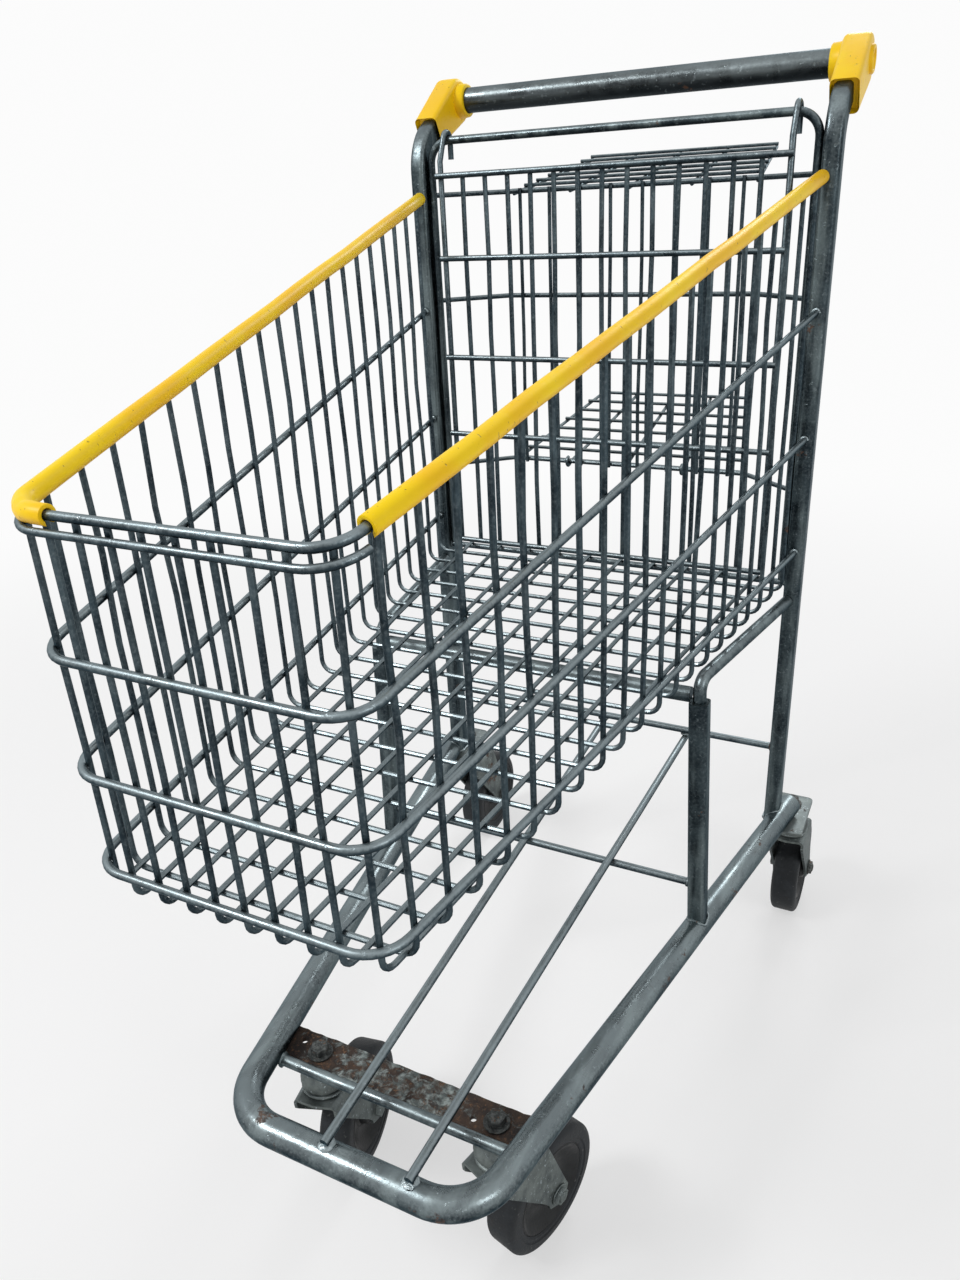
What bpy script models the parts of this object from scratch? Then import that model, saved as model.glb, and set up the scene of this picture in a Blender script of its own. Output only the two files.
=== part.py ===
# Wire shopping cart: tube chassis on four swivel casters, tapered wire basket with yellow edge
# sleeves, hanging rear gate, fold-up seat pan and tray under the handle.
# Metres, +Z up. The nose points to -Y, the handle to +Y.
import bpy
import bmesh
from math import sin, cos, tan, asin, pi, degrees, radians
from mathutils import Vector, Matrix

# Cart frame: y = 0 is the plane of the rear uprights
SHIFT_Y = 0.20942
GAP = 0.0003

# Chassis tube
BASE_Z = 0.206
BASE_R = 0.013
BASE_HALF_REAR = 0.2225
BASE_TAPER = 0.179
BASE_FRONT_Y = -0.605
BASE_REAR_Y = 0.030
BASE_CORNER = 0.050

# Uprights and handle
UPRIGHT_X = 0.213
UPRIGHT_W = 0.017
UPRIGHT_D = 0.023
UPRIGHT_CORNER = 0.004
BEND_Z = 0.930
BEND_R = 0.050
BEND_ANGLE = radians(45)
BEND_RUN = 0.045
BAR_Y = 0.079
BAR_Z = 0.998
BAR_R = 0.0125
BAR_HALF = 0.2047

# End caps: an arm over the tube's end, a boss over the bar's end and a collar round the bar
CAP_WIDTH = 0.0300
CAP_DEPTH = 0.0235
CAP_CORNER = 0.006
BOSS_R = 0.0240
BOSS_X = (0.2000, 0.2370)
COLLAR_R = 0.0170
COLLAR_X = (0.1920, 0.2100)
RECESS_R = 0.0080
RECESS_X = (0.2340, 0.2400)
TUBE_PLAY = 0.0004

# Hoop that carries the gate
HOOP_Z = 0.956
HOOP_R = 0.004
HOOP_X = 0.2002
HOOP_FOOT_Z = 0.5095
HOOP_BEND = 0.022

# Basket: plan line of the side wires, heights at the uprights and at the nose
SIDE_X = 0.2105
SIDE_TAPER = 0.1523
NOSE_Y = -0.6695
SPLIT_Y = -0.646
REAR_RAIL_Y = -0.0128
WIRE_R = 0.0022
RAIL_R = 0.0030
SINK = 0.0010
RIM_Z = (0.905, 0.755)
RAILS_Z = ((0.787, 0.667), (0.665, 0.586), (0.545, 0.514))
FLOOR_Z = (0.508, 0.490)
SIDE_WIRES = 20
WIRE_FIRST_Y = -0.030
WIRE_PITCH = 0.0321
NOSE_WIRES = 10
NOSE_HALF = 0.104
FLOOR_REAR_HALF = 0.175
NOSE_CORNER = 0.024
TURN_UP = 0.016
LEVEL_RUN = 0.008
FLOOR_REAR_Y = 0.003
LOW_ROD_R = 0.0025
LOW_ROD_DROP = 0.0090

# Edge sleeves
SLEEVE_R = 0.0063
SLEEVE_BORE = 0.0038
SLEEVE_SLOT = 0.0027
SLEEVE_REAR_Y = -0.016
SLEEVE_PAST = 0.0005
SLEEVE_WRAP_X = 0.078

# Rear gate
GATE_RAILS_Z = (0.922, 0.841, 0.737, 0.651, 0.522)
GATE_WIRES = 15
GATE_HALF = 0.180
GATE_Y = -0.0175
GATE_WIRE_R = 0.0025
GATE_RAIL_R = 0.0030
HOOK_R = 0.0030
HOOK_PLAY = 0.0006
HOOK_NECK = 0.020
HOOK_TAIL = 0.018
OVERHANG = 0.003

# Seat behind the gate
SEAT_Y = 0.060
SEAT_HALF = 0.140
SEAT_ROD_R = 0.0026
SEAT_WIRE_R = 0.0020
SEAT_SINK = 0.0008
SEAT_Z = (0.904, 0.795, 0.605)
SEAT_END_X = 0.2018
SEAT_END_Y = 0.0080
SEAT_WIRES = 8
SEAT_PITCH = 0.035
SEAT_DEPTH = 0.190
PAN_RISE = 0.045
PAN_HALF = (0.140, 0.100)
TRAY_RISE = 0.034
TRAY_HALF = (0.134, 0.112)
PANEL_ROWS = 8
PANEL_COLUMNS = 5
HOOK_TURN = (90, 140, 190, 240, 285)

# Posts under the basket
POST_Y = -0.225
POST_S = 0.018
POST_CORNER = 0.0035
POST_BEND = 0.034
POST_TOP_X = 0.172
POST_TOP_Z = 0.4885
POST_END_X = 0.2095
POST_END_GAP = 0.0022
CROSS_R = 0.0075
CROSS_Z = 0.471

# Lower rods; the rack rods run from the chassis' front bar back and up to the rear rod
ROD_R = 0.004
REAR_ROD_Z = 0.300
UPPER_ROD_R = 0.0035
UPPER_ROD_Z = 0.5055
RACK_RODS = (("rack_rod_left", -0.016, -0.002), ("rack_rod_right", 0.062, 0.104))
PLATE_ROD_R = 0.005
PLATE_ROD_Z = 0.1986

# Casters
WHEEL_R = 0.0625
WHEEL_W = 0.032
TYRE_BORE = 0.0440
WHEEL_STEPS = 18
TRAIL = 0.055
PLATE_TOP = 0.1927
PLATE_T = 0.0042
PLATE_HALF = 0.128
PLATE_TIP = 0.134
PLATE_REACH = 0.019
FRONT_PIVOT = (0.090, -0.5125)
REAR_PIVOT = (0.228, 0.052)
CROWN_TOP = 0.1550
CROWN_T = 0.0035
CHEEK_T = 0.003
CHEEK_TIP = 0.014
FORK_GAP = 0.037
AXLE_R = 0.005
NUT_R = 0.0085
AXLE_HEAD_R = 0.0080
BOLT_R = 0.0085
FLANGE_R = 0.0115

for item in list(bpy.data.objects):
    bpy.data.objects.remove(item, do_unlink=True)


# Materials

def material(name, colour, rough, metal):
    mat = bpy.data.materials.new(name)
    mat.use_nodes = True
    shader = mat.node_tree.nodes["Principled BSDF"]
    shader.inputs["Base Color"].default_value = (*colour, 1.0)
    shader.inputs["Roughness"].default_value = rough
    shader.inputs["Metallic"].default_value = metal
    return mat


GALVANISED = material("galvanised_tube", (0.16, 0.18, 0.17), 0.45, 0.8)
WIRE = material("zinc_wire", (0.13, 0.17, 0.19), 0.35, 0.9)
STEEL = material("bare_steel_bar", (0.10, 0.11, 0.12), 0.40, 0.9)
YELLOW = material("yellow_plastic", (0.90, 0.62, 0.02), 0.45, 0.0)
RUSTY = material("rusty_plate", (0.09, 0.06, 0.045), 0.75, 0.5)
FORKS = material("zinc_fork", (0.24, 0.26, 0.25), 0.50, 0.7)
RUBBER = material("grey_rubber", (0.035, 0.038, 0.042), 0.75, 0.0)
HUB = material("dark_hub", (0.05, 0.05, 0.055), 0.55, 0.1)


# Objects

def empty(name, location, parent=None, turn=0.0):
    obj = bpy.data.objects.new(name, None)
    bpy.context.collection.objects.link(obj)
    obj.location = location
    obj.rotation_euler = (0, 0, turn)
    obj.parent = parent
    return obj


CART = empty("cart", (0, SHIFT_Y, 0))


def finish(name, bm, mat, parent=CART, origin=(0, 0, 0)):
    bmesh.ops.recalc_face_normals(bm, faces=bm.faces)
    mesh = bpy.data.meshes.new(name)
    bm.to_mesh(mesh)
    bm.free()
    mesh.transform(Matrix.Translation(-Vector(origin)))
    mesh.materials.append(mat)
    mesh.shade_smooth()
    mesh.set_sharp_from_angle(angle=radians(40))
    obj = bpy.data.objects.new(name, mesh)
    bpy.context.collection.objects.link(obj)
    obj.location = origin
    obj.parent = parent
    return obj


def combine(target, tool_bm, operation="UNION"):
    """Boolean of the target object with a shape; the result is applied to its mesh."""
    tool = finish("tool", tool_bm, target.data.materials[0], target.parent, target.location)
    mod = target.modifiers.new("join", "BOOLEAN")
    mod.operation = operation
    mod.solver = "EXACT"
    mod.object = tool
    graph = bpy.context.evaluated_depsgraph_get()
    result = bpy.data.meshes.new_from_object(target.evaluated_get(graph))
    target.modifiers.remove(mod)
    old = target.data
    target.data = result
    result.name = old.name
    bpy.data.meshes.remove(old)
    mesh = tool.data
    bpy.data.objects.remove(tool, do_unlink=True)
    bpy.data.meshes.remove(mesh)
    return target


# Sections and paths

def ngon(radius, sides, phase=0.0):
    angles = [phase + 2 * pi * k / sides for k in range(sides)]
    return [(radius * cos(a), radius * sin(a)) for a in angles]


def level_ngon(radius, sides):
    """Regular section turned so that a flat, not a corner, is at its side."""
    return ngon(radius, sides, pi / sides)


def soft_box(width, depth, corner):
    w, d, c = width / 2, depth / 2, corner
    return [(w, c - d), (w, d - c), (w - c, d), (c - w, d),
            (-w, d - c), (-w, c - d), (c - w, -d), (w - c, -d)]


def arc(centre, radius, start, stop, steps):
    """Points of an arc in a plane, angles in degrees."""
    angles = [radians(start + (stop - start) * k / steps) for k in range(steps + 1)]
    return [(centre[0] + radius * cos(a), centre[1] + radius * sin(a)) for a in angles]


def open_tube(outer, bore, slot):
    """Round section with a bore and a slot along its underside."""
    a = degrees(asin(slot / outer)) - 90
    b = degrees(asin(slot / bore)) - 90
    return arc((0, 0), outer, a, 180 - a, 10) + arc((0, 0), bore, 180 - b, b, 6)


def sweep(bm, path, section, up):
    """Extrude a section along a path with mitred turns."""
    pts = [Vector(p) for p in path]
    runs = [(b - a).normalized() for a, b in zip(pts, pts[1:])]
    side = runs[0].cross(Vector(up)).normalized()
    top = side.cross(runs[0])
    face = bm.faces.new([bm.verts.new(pts[0] + side * a + top * b) for a, b in section])
    for i, run in enumerate(runs):
        stop = pts[i + 1]
        normal = run if i == len(runs) - 1 else (run + runs[i + 1]).normalized()
        last = face
        grown = bmesh.ops.extrude_face_region(bm, geom=[last])["geom"]
        face = [g for g in grown if isinstance(g, bmesh.types.BMFace)][0]
        if i:
            bmesh.ops.delete(bm, geom=[last], context="FACES_ONLY")
        for vert in face.verts:
            vert.co += run * ((stop - vert.co).dot(normal) / run.dot(normal))
    return bm


def fillet(points, radius, steps):
    """Round the inner corners of a path."""
    pts = [Vector(p) for p in points]
    out = [pts[0]]
    for a, b, c in zip(pts, pts[1:], pts[2:]):
        u = (a - b).normalized()
        v = (c - b).normalized()
        angle = u.angle(v)
        cut = radius / tan(angle / 2)
        centre = b + (u + v).normalized() * (radius / sin(angle / 2))
        p = b + u * cut - centre
        q = b + v * cut - centre
        whole = p.angle(q)
        for k in range(steps + 1):
            s = k / steps
            out.append(centre + (p * sin((1 - s) * whole) + q * sin(s * whole)) / sin(whole))
    out.append(pts[-1])
    return out


def shape(specs):
    """Several rods in one mesh: specs are (path, section, up)."""
    bm = bmesh.new()
    for path, section, up in specs:
        sweep(bm, path, section, up)
    return bm


def rods(name, specs, mat, **place):
    """One object from rods that don't touch."""
    return finish(name, shape(specs), mat, **place)


def prism(outline, rise, place):
    """A flat outline pushed along a vector; place turns an outline point into a place."""
    bm = bmesh.new()
    face = bm.faces.new([bm.verts.new(place(*point)) for point in outline])
    grown = bmesh.ops.extrude_face_region(bm, geom=[face])["geom"]
    bmesh.ops.translate(bm, vec=rise, verts=[g for g in grown if isinstance(g, bmesh.types.BMVert)])
    return bm


def grille(name, first, second, mat, **place):
    """A welded grille: two layers of rods joined where they cross."""
    return combine(rods(name, first, mat, **place), shape(second))


def revolve(profile, steps, axis):
    """Spin a closed profile of (along, radius) pairs round X or Z."""
    bm = bmesh.new()
    if axis == "X":
        ring = [bm.verts.new((a, 0, r)) for a, r in profile]
        line = (1, 0, 0)
    else:
        ring = [bm.verts.new((r, 0, a)) for a, r in profile]
        line = (0, 0, 1)
    edges = [bm.edges.new((p, q)) for p, q in zip(ring, ring[1:] + ring[:1])]
    bmesh.ops.spin(bm, geom=ring + edges, cent=(0, 0, 0), axis=line, angle=2 * pi, steps=steps,
                   use_merge=True)
    bmesh.ops.remove_doubles(bm, verts=bm.verts, dist=0.00001)
    return bm


def cylinder(radius, start, end, sides, phase=0.0):
    run = (Vector(end) - Vector(start)).normalized()
    up = (0, 0, 1) if abs(run.z) < 0.9 else (0, 1, 0)
    return sweep(bmesh.new(), [start, end], ngon(radius, sides, phase), up)


# Chassis

def base_x(y):
    return BASE_HALF_REAR + BASE_TAPER * y


def base_tube(grow=0.0):
    """The U of the chassis; grown by the gap, it cuts what stands on it."""
    rear_x, front_x = base_x(BASE_REAR_Y), base_x(BASE_FRONT_Y)
    pts = [(rear_x, BASE_REAR_Y, BASE_Z), (front_x, BASE_FRONT_Y, BASE_Z),
           (-front_x, BASE_FRONT_Y, BASE_Z), (-rear_x, BASE_REAR_Y, BASE_Z)]
    return shape([(fillet(pts, BASE_CORNER, 5), level_ngon(BASE_R + grow, 12), (0, 0, 1))])


finish("base_tube", base_tube(), GALVANISED)


# Uprights, bent back at the top, and the hoop between them

def upright_path(sign, grow=0.0):
    x = sign * UPRIGHT_X
    path = [(x, 0, BASE_Z), (x, 0, BEND_Z)]
    for k in range(1, 5):
        a = BEND_ANGLE * k / 4
        path.append((x, BEND_R * (1 - cos(a)), BEND_Z + BEND_R * sin(a)))
    end = Vector(path[-1]) + Vector((0, sin(BEND_ANGLE), cos(BEND_ANGLE))) * (BEND_RUN + grow)
    return path + [end]


for side, sign in (("left", -1), ("right", 1)):
    tube_section = soft_box(UPRIGHT_D, UPRIGHT_W, UPRIGHT_CORNER)
    leg = rods("upright_" + side, [(upright_path(sign), tube_section, (1, 0, 0))], GALVANISED)
    combine(leg, base_tube(GAP), "DIFFERENCE")

hoop_path = fillet([(-HOOP_X, 0, HOOP_FOOT_Z), (-HOOP_X, 0, HOOP_Z), (HOOP_X, 0, HOOP_Z),
                    (HOOP_X, 0, HOOP_FOOT_Z)], HOOP_BEND, 4)
rods("gate_hoop", [(hoop_path, level_ngon(HOOP_R, 8), (0, 1, 0))], WIRE)


# Posts: each rises from the chassis, turns back under the basket and ends at its upright

def post_path(sign):
    pts = [(sign * base_x(POST_Y), POST_Y, BASE_Z), (sign * POST_TOP_X, POST_Y, POST_TOP_Z),
           (sign * POST_END_X, -UPRIGHT_D / 2 - POST_END_GAP, POST_TOP_Z)]
    return fillet(pts, POST_BEND, 4)


for side, sign in (("left", -1), ("right", 1)):
    post_section = soft_box(POST_S, POST_S, POST_CORNER)
    post = rods("post_" + side, [(post_path(sign), post_section, (1, 0, 0))], GALVANISED)
    combine(post, base_tube(GAP), "DIFFERENCE")


# Straight rods and tubes

def cross_rod(name, y, z, half, radius, mat=WIRE):
    """Round rod from side to side."""
    rods(name, [([(-half, y, z), (half, y, z)], level_ngon(radius, 8), (0, 0, 1))], mat)


front_rod_z = BASE_Z + BASE_R + ROD_R + GAP
rear_rod_z = REAR_ROD_Z - 2 * ROD_R - GAP


def rack_z(y):
    return front_rod_z + (rear_rod_z - front_rod_z) * (y - BASE_FRONT_Y) / -BASE_FRONT_Y


between_uprights = UPRIGHT_X - UPRIGHT_W / 2 - GAP
cross_rod("cross_tube", POST_Y + 0.002, CROSS_Z, POST_TOP_X - POST_S / 2 + 0.0006, CROSS_R, GALVANISED)
cross_rod("rear_rod_upper", 0, UPPER_ROD_Z, between_uprights, UPPER_ROD_R)
cross_rod("rear_rod_lower", 0, REAR_ROD_Z, between_uprights, ROD_R)

# The posts lean in, so the rod between them ends 3.7 mm short of their feet's inner faces
cross_rod("mid_rod", POST_Y, rack_z(POST_Y) - 2 * ROD_R - 0.0005, base_x(POST_Y) - POST_S / 2 - 0.0037, ROD_R)

for name, x_front, x_rear in RACK_RODS:
    ends = [(x_front, BASE_FRONT_Y - 0.002, rack_z(BASE_FRONT_Y)), (x_rear, 0.003, rack_z(0.003))]
    rods(name, [(ends, level_ngon(ROD_R, 8), (0, 0, 1))], WIRE)


# Caster plates and their bolts

def plate(name, outline, mat):
    finish(name, prism(outline, (0, 0, PLATE_T), lambda x, y: (x, y, PLATE_TOP - PLATE_T)), mat)


px, py = FRONT_PIVOT
front_outline = [(-PLATE_HALF, PLATE_REACH), (-PLATE_TIP, 0), (-PLATE_HALF, -PLATE_REACH),
                 (PLATE_HALF, -PLATE_REACH), (PLATE_TIP, 0), (PLATE_HALF, PLATE_REACH)]
plate("caster_plate_front", [(x, py + y) for x, y in front_outline], RUSTY)
rod_y = py - PLATE_REACH - PLATE_ROD_R - GAP
cross_rod("plate_rod", rod_y, PLATE_ROD_Z, base_x(rod_y) - BASE_R * 1.02 - 0.0012, PLATE_ROD_R, GALVANISED)

# A rear plate, measured from its caster's pivot: two corners cut off, a tail under the chassis tube
rx, ry = REAR_PIVOT
rear_outline = [(-0.022, 0.016), (-0.016, 0.022), (0.016, 0.022), (0.022, 0.016),
                (0.022, -0.060), (-0.026, -0.070)]
for side, sign in (("left", -1), ("right", 1)):
    plate("caster_plate_" + side, [(sign * (rx + x), ry + y) for x, y in rear_outline], FORKS)


def bolt(name, x, y):
    head = finish(name, cylinder(BOLT_R, (0, 0, 0.0012), (0, 0, 0.0090), 6), RUSTY)
    combine(head, cylinder(FLANGE_R, (0, 0, 0), (0, 0, 0.0020), 12))
    head.location = (x, y, PLATE_TOP + GAP)


bolt("bolt_front_left", -px, py)
bolt("bolt_front_right", px, py)
bolt("bolt_rear_left", -rx, ry)
bolt("bolt_rear_right", rx, ry)


# Casters

def wheel_ring(name, profile, mat, parent):
    """Ring of the wheel, turned and grown so that a facet stands on the floor at the full radius."""
    bm = revolve(profile, WHEEL_STEPS, "X")
    grow = 1 / cos(pi / WHEEL_STEPS)
    bmesh.ops.scale(bm, vec=(1, grow, grow), verts=bm.verts)
    bmesh.ops.rotate(bm, cent=(0, 0, 0), matrix=Matrix.Rotation(pi / WHEEL_STEPS, 3, "X"), verts=bm.verts)
    finish(name, bm, mat, parent=parent)


def wheel(tag, parent):
    w = WHEEL_W / 2
    shoulder = WHEEL_R - 0.009
    tyre = [(-w, TYRE_BORE + GAP), (-w, shoulder), (0.006 - w, WHEEL_R), (w - 0.006, WHEEL_R), (w, shoulder),
            (w, TYRE_BORE + GAP)]
    boss = w + 0.0015
    hub = [(-boss, AXLE_R + GAP), (-boss, 0.015), (-0.007, 0.030), (0.002 - w, TYRE_BORE),
           (w - 0.002, TYRE_BORE), (0.007, 0.030), (boss, 0.015), (boss, AXLE_R + GAP)]
    wheel_ring("tyre_" + tag, tyre, RUBBER, parent)
    wheel_ring("hub_" + tag, hub, HUB, parent)


def cheek(x0, x1):
    """Triangular side of the fork, from the crown back and down to the axle."""
    turns = [radians(a) for a in (165, 210, 270, 330, 380)]
    outline = [(-0.020, CROWN_TOP), (-0.024, CROWN_TOP - 0.012)]
    outline += [(TRAIL + CHEEK_TIP * cos(a), WHEEL_R + CHEEK_TIP * sin(a)) for a in turns]
    outline += [(0.040, CROWN_TOP - 0.012), (0.034, CROWN_TOP)]
    return prism(outline, (x1 - x0, 0, 0), lambda y, z: (x0, y, z))


def fork(name, parent):
    inner = FORK_GAP / 2
    obj = finish(name, cheek(-inner - CHEEK_T, -inner), FORKS, parent=parent)
    combine(obj, cheek(inner, inner + CHEEK_T))
    edge = inner + 0.001
    outline = [(-edge, -0.018), (-0.012, -0.027), (0.012, -0.027), (edge, -0.018),
               (edge, 0.030), (-edge, 0.030)]
    combine(obj, prism(outline, (0, 0, CROWN_T - 0.0004), lambda x, y: (x, y, CROWN_TOP - CROWN_T)))
    reach = inner + 0.02
    combine(obj, cylinder(AXLE_R + GAP, (-reach, TRAIL, WHEEL_R), (reach, TRAIL, WHEEL_R), 10), "DIFFERENCE")


def axle_bolt(name, parent, sign):
    """Bolt through the fork's cheeks, its nut on the outer side."""
    outer = FORK_GAP / 2 + CHEEK_T + GAP
    pin = cylinder(AXLE_R, (-outer - 0.002, 0, 0), (outer + 0.002, 0, 0), 10)
    obj = finish(name, pin, FORKS, parent=parent)
    combine(obj, cylinder(NUT_R, (sign * outer, 0, 0), (sign * (outer + 0.0065), 0, 0), 6))
    combine(obj, cylinder(AXLE_HEAD_R, (-sign * outer, 0, 0), (-sign * (outer + 0.0050), 0, 0), 6))
    obj.location = (0, TRAIL, WHEEL_R)


def head(name, x, y):
    """Swivel head between a plate and its fork's crown."""
    top = PLATE_TOP - PLATE_T - GAP
    low = CROWN_TOP + GAP
    profile = [(low, 0.0), (low, 0.0200), (low + 0.009, 0.0215), (low + 0.020, 0.0170),
               (top, 0.0110), (top, 0.0)]
    finish(name, revolve(profile, 12, "Z"), FORKS).location = (x, y, 0)


def caster(tag, x, y, turn):
    head("head_" + tag, x, y)
    swivel = empty("swivel_" + tag, (x, y, 0), CART, turn)
    fork("fork_" + tag, swivel)
    axle_bolt("axle_" + tag, swivel, 1 if x > 0 else -1)
    wheel(tag, empty("spin_" + tag, (0, TRAIL, WHEEL_R), swivel))


caster("front_left", -px, py, radians(10))
caster("front_right", px, py, radians(-14))
caster("rear_left", -rx, ry, 0.0)
caster("rear_right", rx, ry, 0.0)


# Basket

def side_x(y):
    return SIDE_X + SIDE_TAPER * y


def height(pair, y):
    return pair[0] + (pair[1] - pair[0]) * y / NOSE_Y


side_normal = Vector((1, -SIDE_TAPER, 0)).normalized()
layer = WIRE_R + RAIL_R - SINK
wire = ngon(WIRE_R, 4)
rail = ngon(RAIL_R, 6)
wire_rows = [WIRE_FIRST_Y - WIRE_PITCH * k for k in range(SIDE_WIRES)]


def flip(sign, point):
    return (sign * point[0], point[1], point[2])


def side_line(heights, off, rear_y, end_y):
    """Line along the right side, sloping down and then level for its last stretch."""
    line = []
    for y, level in ((rear_y, rear_y), (SPLIT_Y + LEVEL_RUN, SPLIT_Y), (end_y, SPLIT_Y)):
        line.append(Vector((side_x(y), y, height(heights, level))) + side_normal * off)
    return line


def side_rail(sign, heights, off):
    line = side_line(heights, off, REAR_RAIL_Y, SPLIT_Y + GAP)
    return ([flip(sign, p) for p in line], rail, (0, 0, 1))


def side_wire(sign, y):
    ends = [(side_x(y), y, height(FLOOR_Z, y) + TURN_UP), (side_x(y), y, height(RIM_Z, y))]
    return ([flip(sign, p) for p in ends], wire, flip(sign, side_normal))


for side, sign in (("left", -1), ("right", 1)):
    lengthwise = [side_rail(sign, RIM_Z, 0.0)] + [side_rail(sign, pair, layer) for pair in RAILS_Z]
    grille("basket_side_" + side, lengthwise, [side_wire(sign, y) for y in wire_rows], WIRE)


def plan_corner(off):
    """Plan path round the nose from one split to the other, off outside the wire line."""
    y0 = NOSE_Y - off
    start = Vector((side_x(SPLIT_Y), SPLIT_Y, 0)) + side_normal * off
    reach = off / side_normal.x
    tip = (side_x(y0) + reach, y0, 0)
    return fillet([start, tip, (-tip[0], y0, 0), (-start.x, start.y, 0)], NOSE_CORNER + off, 3)


def nose_y(x):
    """Wire line of the nose at x, following the rounded corner."""
    path = plan_corner(0.0)
    for a, b in zip(path, path[1:]):
        if min(a.x, b.x) <= x <= max(a.x, b.x) and abs(a.x - b.x) > 1e-6:
            return a.y + (b.y - a.y) * (x - a.x) / (b.x - a.x)
    return NOSE_Y


nose_rim = height(RIM_Z, SPLIT_Y)
floor_lift = 2 * WIRE_R - SINK
rise = TURN_UP - GAP
bend = 0.7 * rise


def nose_hoop(z, off, section):
    return ([(p.x, p.y, z) for p in plan_corner(off)], section, (0, 0, 1))


def nose_wire(x):
    """Upright wire, its foot a little above the floor wire's turned-up end."""
    y = nose_y(x)
    return ([(x, y, FLOOR_Z[1] + TURN_UP + floor_lift + 0.0002), (x, y, nose_rim)], wire, (0, 1, 0))


nose_xs = [-NOSE_HALF + 2 * NOSE_HALF * k / (NOSE_WIRES - 1) for k in range(NOSE_WIRES)]
hoops = [nose_hoop(nose_rim, 0.0, rail), nose_hoop(nose_rim - LOW_ROD_DROP, layer, ngon(LOW_ROD_R, 6))]
hoops += [nose_hoop(height(pair, SPLIT_Y), layer, rail) for pair in RAILS_Z]
grille("basket_nose", hoops, [nose_wire(x) for x in nose_xs], WIRE)


def cross_wire(y):
    """Floor wire from side to side, its ends turned up."""
    x, z = side_x(y), height(FLOOR_Z, y)
    half = [(x, y, z + rise), (x, y, z + bend), (x - bend, y, z)]
    return (half + [flip(-1, p) for p in half[::-1]], wire, (0, 1, 0))


def floor_wire(x):
    """Floor wire from the rear to the nose, its front end turned up."""
    rear_x = x * FLOOR_REAR_HALF / NOSE_HALF
    y, z = nose_y(x), FLOOR_Z[1] + floor_lift
    front = [(x, y + bend, z), (x, y, z + bend), (x, y, z + rise)]
    return ([(rear_x, FLOOR_REAR_Y, FLOOR_Z[0] + floor_lift)] + front, wire, (1, 0, 0))


grille("basket_floor", [cross_wire(y) for y in wire_rows], [floor_wire(x) for x in nose_xs], WIRE)


# Yellow sleeves slipped over the rim rod; the left one goes on round the nose's corner

side_run = side_line(RIM_Z, 0.0, SLEEVE_REAR_Y, SPLIT_Y - SLEEVE_PAST)
corner_run = [Vector((p.x, p.y, nose_rim)) for p in plan_corner(0.0) if p.x > 0 and p.y < SPLIT_Y - 0.001]
left_run = [flip(-1, p) for p in side_run + corner_run + [Vector((SLEEVE_WRAP_X, NOSE_Y, nose_rim))]]
sleeve_section = open_tube(SLEEVE_R, SLEEVE_BORE, SLEEVE_SLOT)
rods("sleeve_left", [(left_run, sleeve_section, (0, 0, 1))], YELLOW)
rods("sleeve_right", [(side_run, sleeve_section, (0, 0, 1))], YELLOW)


# Gate: crosswise rails in front, wires behind, the outer two hooked over the hoop

def hook(x):
    """Wire bent over the hoop rod, its short tail hanging behind."""
    reach = HOOP_R + HOOK_PLAY + HOOK_R
    loop = [(x, y, z) for y, z in arc((0, HOOP_Z), reach, 160, 0, 4)]
    start = [(x, GATE_Y, GATE_RAILS_Z[-1]), (x, GATE_Y, HOOP_Z - HOOK_NECK)]
    return (start + loop + [(x, reach, HOOP_Z - HOOK_TAIL)], ngon(HOOK_R, 6), (1, 0, 0))


def gate_wire(x):
    ends = [(x, GATE_Y, GATE_RAILS_Z[-1] - OVERHANG), (x, GATE_Y, GATE_RAILS_Z[0] + OVERHANG)]
    return (ends, ngon(GATE_WIRE_R, 4), (0, 1, 0))


def gate_rail(z):
    y = GATE_Y - GATE_WIRE_R - GATE_RAIL_R + SINK
    end = GATE_HALF + OVERHANG
    return ([(-end, y, z), (end, y, z)], ngon(GATE_RAIL_R, 6), (0, 0, 1))


gate_xs = [-GATE_HALF + 2 * GATE_HALF * k / (GATE_WIRES - 1) for k in range(GATE_WIRES)]
gate_wires = [gate_wire(x) for x in gate_xs[1:-1]] + [hook(gate_xs[0]), hook(gate_xs[-1])]
grille("gate", [gate_rail(z) for z in GATE_RAILS_Z], gate_wires, WIRE, origin=(0, 0, HOOP_Z))


# Seat: fixed back frame and tray, pan hooked on the frame's lowest rod

seat_wire = ngon(SEAT_WIRE_R, 4)


def seat_rod(z):
    path = [(-SEAT_END_X, SEAT_END_Y, z), (-SEAT_HALF, SEAT_Y, z),
            (SEAT_HALF, SEAT_Y, z), (SEAT_END_X, SEAT_END_Y, z)]
    return (path, ngon(SEAT_ROD_R, 6), (0, 0, 1))


def back_wire(x):
    y = SEAT_Y - SEAT_ROD_R - SEAT_WIRE_R + SEAT_SINK
    return ([(x, y, SEAT_Z[2] - OVERHANG), (x, y, SEAT_Z[0] + OVERHANG)], seat_wire, (0, 1, 0))


back_xs = [SEAT_PITCH * (k - (SEAT_WIRES - 1) / 2) for k in range(SEAT_WIRES)]
grille("seat_frame", [seat_rod(z) for z in SEAT_Z], [back_wire(x) for x in back_xs], WIRE)


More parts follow.
